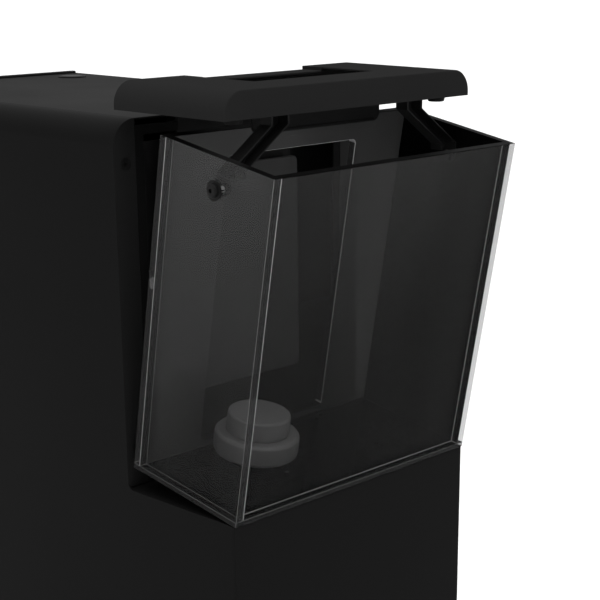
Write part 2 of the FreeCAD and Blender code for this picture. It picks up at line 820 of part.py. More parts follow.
def right_arm():
    """Channel open to the front; its outer side runs down to a round end at the pivot."""
    y0 = pivot_y - arm_half
    y1 = pivot_y + arm_half
    web_low = pivot_r + bolt_head_t
    body = prism(arm_outline(y0, 0.0, web_low), (0, 2 * arm_half, 0))
    pocket = prism(arm_outline(y0 - past, arm_wall, web_low - past),
                   (0, 2 * arm_half - arm_wall + past, 0))
    through = prism(arm_outline(y0 - past, arm_wall, arm_len - arm_half),
                    (0, 2 * (arm_half + past), 0))
    eye_zone = box(0, half, y0 - past, y1 + past, pin_z - arm_half, pin_z + 2 * arm_half)
    above = box(0, half, y0 - past, y1 + past, pin_z, pin_z + 2 * arm_half)
    body = body.cut(above.cut(rod("x", 0, pin_y, pin_z, arm_half, half)))
    body = body.cut(pocket).cut(through.common(eye_zone))
    cheek = box(arm_outer - arm_wall, arm_outer, y0, y1, pivot_z, pivot_z + arm_low_bend)
    eye = rod("x", arm_outer - arm_wall, pivot_y, pivot_z, arm_half, arm_wall)
    body = fused([body, cheek, eye])
    body = body.cut(rod("x", arm_outer - arm_wall - past, pivot_y, pivot_z, pivot_r + pivot_gap,
                        arm_wall + 2 * past))
    return body.cut(rod("x", 0, pin_y, pin_z, arm_pin_r, half))


def right_arm_pin():
    reach = bracket_side_gap + bracket_t + arm_pin_proud
    x0 = arm_top_outer - arm_w - reach
    return rod("x", x0, pin_y, pin_z, arm_pin_r, arm_w + 2 * reach)


def nut_inner_x():
    return arm_outer - arm_wall - nut_gap - nut_t


def pivot_bolts():
    x0 = nut_inner_x()
    tip = half + washer_t + bolt_head_t
    shank = rod("x", x0, pivot_y, pivot_z, pivot_r, half + washer_t - x0)
    head = rod("x", half + washer_t, pivot_y, pivot_z, bolt_head_r, bolt_head_t)
    head = head.makeFillet(bolt_round, edges_at(head, x=tip))
    head = head.cut(rod("x", tip - bolt_socket_deep, pivot_y, pivot_z, bolt_socket_r,
                        bolt_socket_deep + past))
    return both(fused([shank, head]))


def pivot_washers():
    return both(ring("x", half, pivot_y, pivot_z, washer_r, pivot_r, washer_t))


def pivot_nuts():
    x0 = nut_inner_x()
    corners = []
    for k in range(6):
        a = math.radians(60 * k)
        corners.append((x0, pivot_y + nut_r * math.cos(a), pivot_z + nut_r * math.sin(a)))
    nut = prism(corners, (nut_t, 0, 0))
    return both(nut.cut(rod("x", x0 - past, pivot_y, pivot_z, pivot_r, nut_t + 2 * past)))


# ---- lid ------------------------------------------------------------------------------------
def lid_cover():
    """Raised lid: hollow from below, feed aperture, and a ledge from the aperture to the back."""
    z0 = lid_open
    z1 = lid_open + lid_height
    cover = rounded_top(half, z0, z1, lid_round, lid_y0, lid_y1)
    cover = cover.makeFillet(lid_edge, edges_at(cover, z=z1, y=lid_y0))
    hollow = rounded_top(half - lid_sheet, z0 - past, z1 - lid_sheet, lid_round - lid_sheet,
                         lid_y0 + lid_sheet, lid_y1 - lid_sheet)
    ledge_skin = box(-ledge_half - lid_sheet, ledge_half + lid_sheet, aperture_y1,
                     lid_y1 - lid_sheet, z1 - ledge_drop - lid_sheet, z1 - lid_sheet)
    cover = cover.cut(hollow.cut(ledge_skin))
    cover = cover.cut(box(-ledge_half, ledge_half, aperture_y1 - past, lid_y1 + past,
                          z1 - ledge_drop, z1 + past))
    return cover.cut(box(-aperture_half, aperture_half, aperture_y0, aperture_y1, z0 - past,
                         z1 + past))


def feed_deflector():
    """Skirt in front of the feed aperture, with a bead along its lower edge."""
    y1 = y_front + aperture_front
    y0 = y1 - deflector_t
    z0 = lid_open - deflector_drop
    plate = box(-deflector_half, deflector_half, y0, y1, z0, lid_open + lid_height - lid_sheet)
    low = [e for e in edges_long(plate, deflector_t) if abs(e.CenterOfMass.z - z0) < near]
    plate = plate.makeFillet(deflector_round, low)
    x = deflector_half - deflector_round
    bead = rod("x", -x, (y0 + y1) / 2, z0 + bead_r, bead_r, 2 * x)
    return fused([plate, bead])


def lid_brackets():
    """Two slotted ears for each arm pin; the slot is the free pivot of the linkage.

    The ears' lower corners are round so that the arm's bend passes them as it swings.
    """
    dy0, dy1, dz0, dz1 = pin_drift()
    r = arm_pin_r + slot_gap
    sy0 = pin_y + dy0 - r
    sy1 = pin_y + dy1 + r
    sz0 = pin_z + dz0 - r
    sz1 = pin_z + dz1 + r
    ears = []
    outer = arm_top_outer + bracket_side_gap
    inner = arm_top_outer - arm_w - bracket_side_gap - bracket_t
    for x in (outer, inner):
        ear = box(x, x + bracket_t, sy0 - bracket_rim, sy1 + bracket_rim, sz0 - bracket_rim,
                  lid_open + lid_height - lid_sheet)
        low = [e for e in edges_long(ear, bracket_t)
               if abs(e.CenterOfMass.z - sz0 + bracket_rim) < near]
        ear = ear.makeFillet(r + bracket_rim - short, low)
        slot = box(x - past, x + bracket_t + past, sy0, sy1, sz0, sz1)
        slot = slot.makeFillet(r - short, edges_long(slot, bracket_t + 2 * past))
        ears.append(ear.cut(slot))
    return group(ears + [mirrored(e) for e in ears])


def lid_bumpers():
    pad = Part.makeCone(bumper_r - bumper_taper, bumper_r, bumper_h,
                        Vector(bumper_x, y_front + bumper_y, lid_open - bumper_h))
    stem = rod("z", bumper_x, y_front + bumper_y, lid_open, bumper_stem_r, lid_sheet)
    return both(pad.fuse(stem))


def bumper_bridges():
    """Strips inside the lid's front corners that the bumpers are screwed to."""
    x1 = half - lid_sheet
    strip = box(bumper_x - bridge_reach, x1, lid_y0 + lid_sheet,
                y_front + bumper_y + bridge_reach, lid_open, lid_open + lid_sheet)
    return both(strip.cut(rod("z", bumper_x, y_front + bumper_y, lid_open - past,
                              bumper_stem_r, lid_sheet + 2 * past)))


def lid_carriage():
    """Z-shaped plate: bolted to the lid's back, over the front edge, and down inside the cabinet."""
    t = carriage_t
    z = lid_open + carriage_rise
    y_hang = carriage_front
    flange = box(-carriage_half, carriage_half, lid_y1, lid_y1 + t, z, z + carriage_flange)
    bridge = box(-carriage_half, carriage_half, lid_y1, y_hang, z, z + t)
    hanger = box(-carriage_half, carriage_half, y_hang - t, y_hang, lid_open - carriage_drop, z + t)
    return fused([flange, bridge, hanger])


def carriage_bushes():
    z = lid_open - carriage_drop + bush_set
    return both(ring("z", rail_x, rail_y, z, bush_r, rail_r + rail_gap, bush_len))


def lid_rails():
    return both(rod("z", rail_x, rail_y, rail_low, rail_r, rail_top - rail_low))


def lid_rail_plate():
    """Cross plate behind the rails, with a lug over and under each rail."""
    y0 = rail_y + bush_r + rail_plate_gap
    z0 = rail_low
    x = rail_x + rail_lug_side
    plate = box(-inner_half, inner_half, y0, y0 + bracket_sheet, z0, inner_top)
    upper = box(-x, x, y0, y0 + bracket_sheet, z0, rail_top)
    lugs = [box(-x, x, rail_y - rail_r - rail_lug_rim, y0, z, z + rail_lug)
            for z in (z0, rail_top - rail_lug)]
    plate = fused([plate, upper] + lugs)
    for s in (-1, 1):
        plate = plate.cut(rod("z", s * rail_x, rail_y, z0 - past, rail_r, height - z0))
    return plate


# ---- press ----------------------------------------------------------------------------------
def press_plate():
    plate = box(-press_half, press_half, press_face, press_face + press_t, press_low, press_top)
    return plate.makeFillet(press_round, edges_long(plate, press_t))


def push_tubes():
    y0 = press_face + press_t
    return both(ring("y", tube_x, y0, drive_z, tube_r, tube_r - tube_wall, tube_len))


def crosshead():
    y0 = crosshead_y
    bar = box(-crosshead_half, crosshead_half, y0, y0 + crosshead_t, drive_z - crosshead_h / 2,
              drive_z + crosshead_h / 2)
    for s in (-1, 1):
        bar = bar.cut(rod("y", s * screw_x, y0 - past, drive_z, nut_body_r,
                          crosshead_t + 2 * past))
    return bar


def drive_nuts():
    y0 = crosshead_y + crosshead_t / 2 - nut_body_len / 2
    return both(ring("y", screw_x, y0, drive_z, nut_body_r, screw_r + screw_gap, nut_body_len))


def guide_plate():
    plate = box(-inner_half, inner_half, guide_y, guide_y + guide_t, drive_z - guide_drop,
                rail_low)
    for s in (-1, 1):
        for x, r in ((tube_x, tube_r + bush_wall), (screw_x, bearing_r)):
            plate = plate.cut(rod("y", s * x, guide_y - past, drive_z, r, guide_t + 2 * past))
    return plate


def tube_bushes():
    y0 = guide_y + guide_t / 2 - bearing_len / 2
    return both(ring("y", tube_x, y0, drive_z, tube_r + bush_wall, tube_r + screw_gap, bearing_len))


def bulkhead():
    plate = box(-inner_half, inner_half, bulkhead_y, bulkhead_y + guide_t,
                motor_z - bulkhead_foot, inner_top)
    for s in (-1, 1):
        plate = plate.cut(rod("y", s * screw_x, bulkhead_y - past, drive_z, bearing_r,
                              guide_t + 2 * past))
    return plate


def screw_bearings():
    rings = []
    for y in (guide_y, bulkhead_y):
        y0 = y + guide_t / 2 - bearing_len / 2
        rings.append(ring("y", screw_x, y0, drive_z, bearing_r, screw_r + screw_gap, bearing_len))
    return group(rings + [mirrored(r) for r in rings])


def drive_screw(sign):
    y0 = guide_y - screw_front
    y1 = chain_y + sprocket_t / 2 + screw_rear
    return rod("y", sign * screw_x, y0, drive_z, screw_r, y1 - y0)


def sprocket(x, z, pitch_r, bore_r):
    r_out = pitch_r - chain_band / 2 - chain_gap
    y0 = chain_y - sprocket_t / 2
    disc = rod("y", x, y0, z, r_out, sprocket_t)
    hub = rod("y", x, y0 - hub_side, z, bore_r + hub_wall, sprocket_t + 2 * hub_side)
    bore = rod("y", x, y0 - hub_side - past, z, bore_r, sprocket_t + 2 * (hub_side + past))
    return disc.fuse(hub).cut(bore).removeSplitter()


def chain_loop(offset):
    """Closed outline of the chain round its three sprockets, offset from the pitch line."""
    stops = [(-screw_x, drive_z, sprocket_r + offset), (screw_x, drive_z, sprocket_r + offset),
             (0.0, motor_z, motor_sprocket_r + offset)]
    tangents = []
    for (xa, za, ra), (xb, zb, rb) in zip(stops, stops[1:] + stops[:1]):
        dx = xb - xa
        dz = zb - za
        span = math.hypot(dx, dz)
        turn = math.atan2(dz, dx) + math.pi / 2 + math.asin((rb - ra) / span)
        tangents.append(((xa + ra * math.cos(turn), za + ra * math.sin(turn)),
                         (xb + rb * math.cos(turn), zb + rb * math.sin(turn)), turn))
    edges = []
    for k, (start, end, turn) in enumerate(tangents):
        a = Vector(start[0], 0, start[1])
        b = Vector(end[0], 0, end[1])
        edges.append(Part.LineSegment(a, b).toShape())
        nxt = tangents[(k + 1) % 3]
        xb, zb, rb = stops[(k + 1) % 3]
        swing = (turn - nxt[2]) % (2 * math.pi)
        mid = turn - swing / 2
        m = Vector(xb + rb * math.cos(mid), 0, zb + rb * math.sin(mid))
        c = Vector(nxt[0][0], 0, nxt[0][1])
        edges.append(Part.Arc(b, m, c).toShape())
    return Part.Face(Part.Wire(edges))


def drive_chain():
    outer = chain_loop(chain_band / 2).extrude(Vector(0, chain_w, 0))
    inner = chain_loop(-chain_band / 2).extrude(Vector(0, chain_w, 0))
    band = outer.cut(inner)
    band.translate(Vector(0, chain_y - chain_w / 2, 0))
    return band


def gearbox():
    case = box(-gearbox_half, gearbox_half, gearbox_y, gearbox_y + gearbox_d,
               motor_z - gearbox_half, motor_z + gearbox_half)
    return case.makeFillet(gearbox_round, edges_long(case, gearbox_d))


def drive_motor():
    y0 = gearbox_y + gearbox_d
    can = rod("y", 0, y0, motor_z, motor_r, motor_len)
    return can.makeFillet(gearbox_round, edges_at(can, y=y0 + motor_len))


def motor_shaft():
    y0 = chain_y - sprocket_t / 2 - shaft_end
    return rod("y", 0, y0, motor_z, motor_shaft_r, gearbox_y - shaft_gap - y0)


def motor_bracket():
    """Two cheeks from the bulkhead to the gearbox, below the chain, with feet on the bulkhead."""
    y0 = bulkhead_y + guide_t
    y1 = gearbox_y + gearbox_d
    x = gearbox_half
    z0 = motor_z - gearbox_half + bracket_low
    z1 = motor_z - chain_clear
    cheek = box(x, x + bracket_sheet, y0, y1, z0, z1)
    foot = box(x, x + bracket_foot, y0, y0 + bracket_sheet, z0, z1)
    return both(cheek.fuse(foot).removeSplitter())


# ---- every piece ----------------------------------------------------------------------------
canister_base, canister_cap = canister()
arm = right_arm()
arm_pin = right_arm_pin()

nodes = {
    "right_side_panel": right_side(),
    "left_side_panel": mirrored(right_side()),
    "flange_screws": flange_screws(),
    "top_panel": top_panel(),
    "rear_top_trim": rear_top_trim(),
    "button_bezel": button_bezel(),
    "button_holder": button_holder(),
    "start_button": start_button(),
    "front_frame": front_frame(),
    "lower_front_panel": lower_front_panel(),
    "step_plate": step_plate(),
    "bin_hinge_pins": bin_hinge_pins(),
    "rear_panel": rear_panel(),
    "rear_panel_screws": rear_screws(),
    "mains_inlet": mains_inlet(),
    "control_box": control_box(),
    "base_frame": base_frame(),
    "levelling_feet": levelling_feet(),
    "corner_posts": corner_posts(),
    "bin_left_wall": bin_side(-1),
    "bin_right_wall": bin_side(1),
    "bin_front_wall": bin_front(),
    "bin_rear_wall": bin_rear(),
    "bin_floor": bin_base_plate(),
    "bin_floor_screws": floor_screws(),
    "deodoriser_base": canister_base,
    "deodoriser_cap": canister_cap,
    "bin_hinge_leaves": bin_hinge_leaves(),
    "bin_pivot_bolts": pivot_bolts(),
    "bin_pivot_washers": pivot_washers(),
    "bin_pivot_nuts": pivot_nuts(),
    "right_arm": arm,
    "left_arm": mirrored(arm),
    "right_arm_pin": arm_pin,
    "left_arm_pin": mirrored(arm_pin),
    "lid_cover": lid_cover(),
    "feed_deflector": feed_deflector(),
    "lid_brackets": lid_brackets(),
    "lid_bumpers": lid_bumpers(),
    "bumper_bridges": bumper_bridges(),
    "lid_carriage": lid_carriage(),
    "carriage_bushes": carriage_bushes(),
    "lid_rails": lid_rails(),
    "lid_rail_plate": lid_rail_plate(),
    "press_plate": press_plate(),
    "push_tubes": push_tubes(),
    "crosshead": crosshead(),
    "drive_nuts": drive_nuts(),
    "guide_plate": guide_plate(),
    "tube_bushes": tube_bushes(),
    "bulkhead": bulkhead(),
    "screw_bearings": screw_bearings(),
    "left_drive_screw": drive_screw(-1),
    "right_drive_screw": drive_screw(1),
    "left_sprocket": sprocket(-screw_x, drive_z, sprocket_r, screw_r),
    "right_sprocket": sprocket(screw_x, drive_z, sprocket_r, screw_r),
    "motor_sprocket": sprocket(0.0, motor_z, motor_sprocket_r, motor_shaft_r).fuse(motor_shaft()),
    "drive_chain": drive_chain(),
    "gear_motor": fused([gearbox(), drive_motor()]),
    "motor_bracket": motor_bracket(),
}

os.makedirs("parts", exist_ok=True)
for name, shape in nodes.items():
    shape.exportStep(f"parts/{name}.step")

print(f"arm length {arm_len:.3f} mm, arm swing {arm_swing:.3f} degrees, lid travel {lid_lift:.4f} mm")
print(f"arm pivot y {pivot_y:.4f} z {pivot_z:.4f}, hinge y {hinge_y:.3f} z {hinge_z:.3f}")
print("pin drift", " ".join(f"{v:.2f}" for v in pin_drift()))
print(len(nodes), "nodes")
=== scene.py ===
"""Looks of a freestanding trash compactor: steel shell, clear tilting bin, lid and press."""

import json
import logging
import math
from dataclasses import dataclass, field
from enum import Enum
from typing import Any, Callable, Iterable, Optional, Sequence, Union

import bmesh
import bpy
from mathutils import Matrix, Vector


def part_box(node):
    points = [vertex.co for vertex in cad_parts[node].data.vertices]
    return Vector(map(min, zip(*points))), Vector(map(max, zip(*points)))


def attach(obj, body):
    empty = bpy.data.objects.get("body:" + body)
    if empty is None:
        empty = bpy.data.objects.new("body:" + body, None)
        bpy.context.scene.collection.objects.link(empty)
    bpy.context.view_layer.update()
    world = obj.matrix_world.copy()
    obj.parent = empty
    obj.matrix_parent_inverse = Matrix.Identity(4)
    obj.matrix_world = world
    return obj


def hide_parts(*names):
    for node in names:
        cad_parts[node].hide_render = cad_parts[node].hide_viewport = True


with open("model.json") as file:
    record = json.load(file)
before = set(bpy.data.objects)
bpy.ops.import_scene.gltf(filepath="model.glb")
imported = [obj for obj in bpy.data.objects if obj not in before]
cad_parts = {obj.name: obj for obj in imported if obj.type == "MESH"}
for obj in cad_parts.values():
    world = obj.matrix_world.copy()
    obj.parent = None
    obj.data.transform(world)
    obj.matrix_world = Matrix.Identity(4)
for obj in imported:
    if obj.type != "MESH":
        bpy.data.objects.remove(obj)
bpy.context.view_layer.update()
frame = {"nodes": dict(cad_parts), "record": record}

log = logging.getLogger("compactor")
MM = 0.001
SQUARE_ON = 0.97               # a face whose normal has this much along an axis faces that way


class Body(Enum):
    """Bodies that pieces are named after or tied to, by the name the physics gives them."""

    CABINET = "cabinet"
    RIGHT_ARM = "right_arm"
    LEFT_ARM = "left_arm"
    LEFT_SCREW = "left_screw"
    RIGHT_SCREW = "right_screw"


class Grain(Enum):
    """Direction that brushing or rolling marks run in."""

    ALONG_X = (0.04, 1.0, 1.0)
    ALONG_Z = (1.0, 1.0, 0.04)
    NONE = (1.0, 1.0, 1.0)


# ---- node trees --------------------------------------------------------------------------------
class Signal:
    """A node socket that adds Math nodes when it is used in an expression."""

    def __init__(self, kit: "NodeKit", socket: bpy.types.NodeSocket) -> None:
        """Args:
            kit: the tree that new nodes go into.
            socket: the output socket to wrap.
        """
        self.kit = kit
        self.socket = socket

    def _math(self, operation: str, first: Any, second: Any) -> "Signal":
        """Adds one Math node.

        Args:
            operation: the node's operation.
            first: first value or signal.
            second: second value or signal.

        Returns:
            The node's result.
        """
        return self.kit.node("ShaderNodeMath", {"operation": operation},
                             {0: first, 1: second}).out()

    def __add__(self, other: Any) -> "Signal":
        """Sum with a number or signal."""
        return self._math("ADD", self, other)

    def __radd__(self, other: Any) -> "Signal":
        """Sum with a number on the left."""
        return self._math("ADD", other, self)

    def __sub__(self, other: Any) -> "Signal":
        """Difference with a number or signal."""
        return self._math("SUBTRACT", self, other)

    def __rsub__(self, other: Any) -> "Signal":
        """Difference from a number on the left."""
        return self._math("SUBTRACT", other, self)

    def __mul__(self, other: Any) -> "Signal":
        """Product with a number or signal."""
        return self._math("MULTIPLY", self, other)

    def __rmul__(self, other: Any) -> "Signal":
        """Product with a number on the left."""
        return self._math("MULTIPLY", other, self)

    def clamp(self) -> "Signal":
        """The signal held between 0 and 1."""
        return self.kit.node("ShaderNodeClamp", {}, {0: self}).out()


class Placed:
    """A node that has been placed in a tree."""

    def __init__(self, kit: "NodeKit", node: bpy.types.Node) -> None:
        """Wraps a node.

        Args:
            kit: the tree that holds the node.
            node: the node.
        """
        self.kit = kit
        self.node = node

    def out(self, name: Union[str, int] = 0) -> Signal:
        """An output of the node as a signal."""
        return Signal(self.kit, self.node.outputs[name])


class NodeKit:
    """A shader node tree that is filled in by the script."""

    def __init__(self, tree: bpy.types.NodeTree) -> None:
        """Empties a tree.

        Args:
            tree: the tree to fill.
        """
        self.tree = tree
        self.tree.nodes.clear()

    def node(self, kind: str, settings: dict[str, Any], inputs: dict[Any, Any]) -> Placed:
        """Adds any node: its settings first, then its sockets.

        Args:
            kind: the node's type.
            settings: properties such as an operation, or "ramp" for a ramp's stops.
            inputs: socket name or index to a value or a signal.

        Returns:
            The placed node.
        """
        node = self.tree.nodes.new(kind)
        for key, value in settings.items():
            if key == "ramp":
                self._stops(node, value)
            else:
                setattr(node, key, value)
        for key, value in inputs.items():
            if isinstance(value, Signal):
                self.tree.links.new(value.socket, node.inputs[key])
            else:
                node.inputs[key].default_value = value
        return Placed(self, node)

    @staticmethod
    def _stops(node: bpy.types.Node, stops: Sequence[tuple[float, float]]) -> None:
        """Sets the grey stops of a ramp.

        Args:
            node: a ramp node.
            stops: position and grey level of each stop.
        """
        ramp = node.color_ramp
        while len(ramp.elements) < len(stops):
            ramp.elements.new(0.5)
        for element, (position, level) in zip(ramp.elements, stops):
            element.position = position
            element.color = (level, level, level, 1.0)


class ShaderKit(NodeKit):
    """Node tree of one material, ended by a single Principled shader."""

    def __init__(self, name: str, constants: dict[str, Any]) -> None:
        """Makes a material with an empty Principled shader.

        Args:
            name: the material's name.
            constants: socket values of the shader that are the same all over.
        """
        self.material = bpy.data.materials.new(name)
        self.material.use_nodes = True
        super().__init__(self.material.node_tree)
        self.shader = self.node("ShaderNodeBsdfPrincipled", {}, constants)
        self.node("ShaderNodeOutputMaterial", {}, {"Surface": self.shader.out("BSDF")})
        self.place = self.node("ShaderNodeTexCoord", {}, {}).out("Object")

    def stretched(self, scale: Sequence[float]) -> Signal:
        """Object coordinates stretched by a scale along each axis."""
        return self.node("ShaderNodeMapping", {},
                         {"Vector": self.place, "Scale": tuple(scale)}).out()

    def noise(self, scale: float, detail: float = 2.0, along: Grain = Grain.NONE) -> Signal:
        """Noise in object space.

        Args:
            scale: cells in a metre.
            detail: octaves.
            along: direction in which the noise is drawn out.

        Returns:
            A value around 0.5.
        """
        where = self.place if along is Grain.NONE else self.stretched(along.value)
        made = self.node("ShaderNodeTexNoise", {"noise_dimensions": "3D"},
                         {"Vector": where, "Scale": scale, "Detail": detail})
        return made.out(0)

    def ramp(self, signal: Signal, stops: Sequence[tuple[float, float]]) -> Signal:
        """Maps a signal through grey stops."""
        return self.node("ShaderNodeValToRGB", {"ramp": stops}, {0: signal}).out(0)

    def upward(self) -> Signal:
        """How far the surface faces up, from 0 to 1."""
        normal = self.node("ShaderNodeNewGeometry", {}, {}).out("Normal")
        parts = self.node("ShaderNodeSeparateXYZ", {}, {0: normal})
        return parts.out("Z").clamp()

    def blend(self, share: Signal, low: Sequence[float], high: Sequence[float]) -> Signal:
        """Colour between low and high by share."""
        mix = self.node("ShaderNodeMix", {"data_type": "RGBA"},
                        {0: share, 6: (*low, 1.0), 7: (*high, 1.0)})
        return mix.out(2)

    def bump(self, height: Signal, strength: float, distance: float) -> Signal:
        """Bump normal from a height signal.

        Args:
            height: the height.
            strength: weight of the bump, 0 to 1.
            distance: height of a full step, in metres.

        Returns:
            The normal.
        """
        return self.node("ShaderNodeBump", {}, {"Height": height, "Strength": strength,
                                                "Distance": distance}).out()

    def feed(self, **signals: Signal) -> None:
        """Links signals to the shader's sockets; an underscore in a name stands for a space."""
        for name, signal in signals.items():
            self.tree.links.new(signal.socket, self.shader.node.inputs[name.replace("_", " ")])


# ---- finishes ----------------------------------------------------------------------------------
@dataclass(frozen=True)
class PowderCoat:
    """Fine-textured powder paint on sheet steel, with dust on what faces up."""

    name: str
    colour: tuple[float, float, float]
    dust: tuple[float, float, float]
    roughness: float = 0.46
    gloss: float = 0.04
    peel_cells: float = 900.0
    peel: float = 0.16

    def build(self) -> bpy.types.Material:
        """The finish as a material."""
        kit = ShaderKit(self.name, {"Specular IOR Level": self.gloss})
        cloud = kit.noise(5.0, 4.0)
        peel = kit.noise(self.peel_cells, 2.0)
        speck = kit.ramp(kit.noise(2600.0, 1.0), ((0.66, 0.0), (0.74, 1.0)))
        share = (kit.upward() * 0.55 + (cloud - 0.5) * 0.6 + speck * 0.10).clamp()
        kit.feed(Base_Color=kit.blend(share, self.colour, self.dust),
                 Roughness=(cloud - 0.5) * 0.16 + (peel - 0.5) * 0.10 + self.roughness,
                 Normal=kit.bump(peel, self.peel, 0.00025))
        return kit.material


@dataclass(frozen=True)
class Acrylic:
    """Tinted acrylic with fine scratches and a haze that thickens from foot to rim, in metres."""

    name: str
    tint: tuple[float, float, float]
    haze: tuple[float, float, float]
    density: float
    gloss: float = 0.3
    roughness: float = 0.07
    haze_density: float = 0.10
    foot: float = 0.47
    rim: float = 0.85

    def build(self) -> bpy.types.Material:
        """The finish as a material."""
        kit = ShaderKit(self.name, {"Specular IOR Level": self.gloss, "IOR": 1.49})
        smear = kit.noise(9.0, 5.0, Grain.ALONG_Z)
        scratch = kit.ramp(kit.noise(700.0, 2.0, Grain.ALONG_X), ((0.68, 0.0), (0.74, 1.0)))
        up = kit.node("ShaderNodeMapRange", {}, {
            "Value": kit.node("ShaderNodeSeparateXYZ", {}, {0: kit.place}).out("Z"),
            "From Min": self.foot, "From Max": self.rim}).out()
        fog = (kit.ramp(smear, ((0.40, 0.0), (0.76, 0.3))) + up * up * 0.8).clamp()
        kit.feed(Base_Color=kit.blend(fog, self.tint, self.haze),
                 Alpha=(fog * self.haze_density + scratch * 0.03 + self.density).clamp(),
                 Roughness=fog * 0.10 + scratch * 0.12 + self.roughness)
        return kit.material


@dataclass(frozen=True)
class BareMetal:
    """Plated, turned or drawn metal with marks that run one way."""

    name: str
    dark: tuple[float, float, float]
    light: tuple[float, float, float]
    roughness: float
    along: Grain = Grain.NONE
    cells: float = 900.0
    spangle: float = 0.0
    metal: float = 1.0
    gloss: float = 0.5

    def build(self) -> bpy.types.Material:
        """The finish as a material."""
        kit = ShaderKit(self.name, {"Metallic": self.metal, "Specular IOR Level": self.gloss})
        marks = kit.noise(self.cells, 3.0, self.along)
        cloud = kit.noise(22.0, 3.0)
        share = marks * 0.55 + cloud * 0.45
        if self.spangle > 0.0:
            cells = kit.node("ShaderNodeTexVoronoi", {"feature": "F1"},
                             {"Vector": kit.place, "Scale": 75.0})
            grey = kit.node("ShaderNodeSeparateXYZ", {}, {0: cells.out("Color")}).out("X")
            share = share + (grey - 0.5) * self.spangle
        share = share.clamp()
        kit.feed(Base_Color=kit.blend(share, self.dark, self.light),
                 Roughness=(marks - 0.5) * 0.22 + (cloud - 0.5) * 0.10 + self.roughness,
                 Normal=kit.bump(marks, 0.12, 0.00012))
        return kit.material


@dataclass(frozen=True)
class Moulded:
    """Moulded plastic or rubber with a fine spark-eroded grain."""

    name: str
    dark: tuple[float, float, float]
    light: tuple[float, float, float]
    roughness: float
    gloss: float = 0.3
    grain_cells: float = 1500.0
    grain: float = 0.20

    def build(self) -> bpy.types.Material:
        """The finish as a material."""
        kit = ShaderKit(self.name, {"Specular IOR Level": self.gloss})
        grain = kit.noise(self.grain_cells, 3.0)
        flow = kit.noise(30.0, 4.0)
        share = (flow * 0.6 + grain * 0.25 + kit.upward() * 0.25 - 0.1).clamp()
        kit.feed(Base_Color=kit.blend(share, self.dark, self.light),
                 Roughness=(flow - 0.5) * 0.12 + (grain - 0.5) * 0.10 + self.roughness,
                 Normal=kit.bump(grain, self.grain, 0.0002))
        return kit.material


def grey(level: float, warm: float = 0.0) -> tuple[float, float, float]:
    """A near-neutral colour.

    Args:
        level: linear grey level.
        warm: shift towards red, as a share.

    Returns:
        Linear red, green and blue.
    """
    return (level * (1.0 + warm), level, level * (1.0 - warm))


@dataclass
class Finishes:
    """Every finish on the compactor, made once and shared by its pieces."""

    made: dict[str, bpy.types.Material] = field(default_factory=dict)
    # Parts that get black steel instead of their slot's finish: painted shade where they sit in
    # shadow.
    painted_shade_parts: tuple[str, ...] = ("guide_plate", "screw_bearings", "tube_bushes",
                                  "bin_pivot_washers", "start_button", "corner_posts",
                                  "lid_rail_plate", "bulkhead")

    def build(self) -> None:
        """Makes each finish under its slot name."""
        for finish in (
                PowderCoat("cabinet_paint", grey(0.0066), grey(0.0072), gloss=0.012),
                # A lighter copy of the cabinet paint for the front flanges: painted light that
                # lifts the shadow the bin casts on them.
                PowderCoat("flange_painted_light", grey(0.0120), grey(0.0180), gloss=0.05),
                PowderCoat("lid_paint", grey(0.0155), grey(0.0185), roughness=0.52, gloss=0.0),
                Moulded("dark_trim", grey(0.0040), grey(0.0080), 0.50, gloss=0.06),
                Acrylic("smoked_acrylic", grey(0.003), grey(0.058), 0.24, gloss=0.16),
                Acrylic("front_acrylic", grey(0.002), grey(0.034), 0.24, gloss=0.09),
                Acrylic("black_acrylic", grey(0.0008), grey(0.0016), 1.0, gloss=0.01,
                        haze_density=0.0),
                Acrylic("dark_acrylic", grey(0.032), grey(0.050), 0.985, gloss=0.12,
                        haze_density=0.015),
                Acrylic("clear_acrylic", grey(0.30), grey(0.50), 0.03, haze_density=0.03),
                # Light grey on the slabs' eased edges: a painted highlight for the bright lines
                # that the acrylic's edges show.
                Acrylic("painted_edge_highlight", grey(0.30), grey(0.42), 0.80, roughness=0.16, gloss=0.3),
                Acrylic("sawn_edge", grey(0.010), grey(0.018), 0.50, roughness=0.30, gloss=0.1),
                Acrylic("dark_edge", grey(0.001), grey(0.002), 0.97, roughness=0.30, gloss=0.01),
                BareMetal("black_steel", grey(0.004), grey(0.010), 0.42, Grain.ALONG_Z,
                          metal=0.0, gloss=0.08),
                BareMetal("zinc_steel", grey(0.36), grey(0.60), 0.34, spangle=0.35),
                BareMetal("bright_steel", grey(0.52), grey(0.78), 0.20, Grain.ALONG_X),
                BareMetal("bronze", (0.34, 0.22, 0.09), (0.58, 0.41, 0.20), 0.32, cells=500.0),
                Moulded("grey_plastic", grey(0.090), grey(0.155), 0.52),
                BareMetal("press_face", grey(0.026), grey(0.042), 0.46, Grain.ALONG_Z,
                          metal=0.0, gloss=0.12),
                Moulded("rubber_black", grey(0.004), grey(0.010), 0.72, gloss=0.1,
                        grain_cells=700.0, grain=0.4),
                PowderCoat("motor_grey", grey(0.12), grey(0.17), roughness=0.40, gloss=0.3)):
            self.made[finish.name] = finish.build()
        log.info("%d finishes", len(self.made))

    def get(self, name: str) -> bpy.types.Material:
        """The finish of that name."""
        return self.made[name]

    def dress_frame(self) -> None:
        """Gives every CAD node the finish of its slot, or black steel as painted shade on the
        listed parts that sit in shadow.
        """
        for part in frame["record"]["subparts"]:
            mesh = frame["nodes"][part["node"]].data
            mesh.materials.clear()
            # Black steel here is painted shade in place of the slot's own finish.
            dark = part["node"] in self.painted_shade_parts
            mesh.materials.append(self.get("black_steel" if dark else part["material_slot"]))


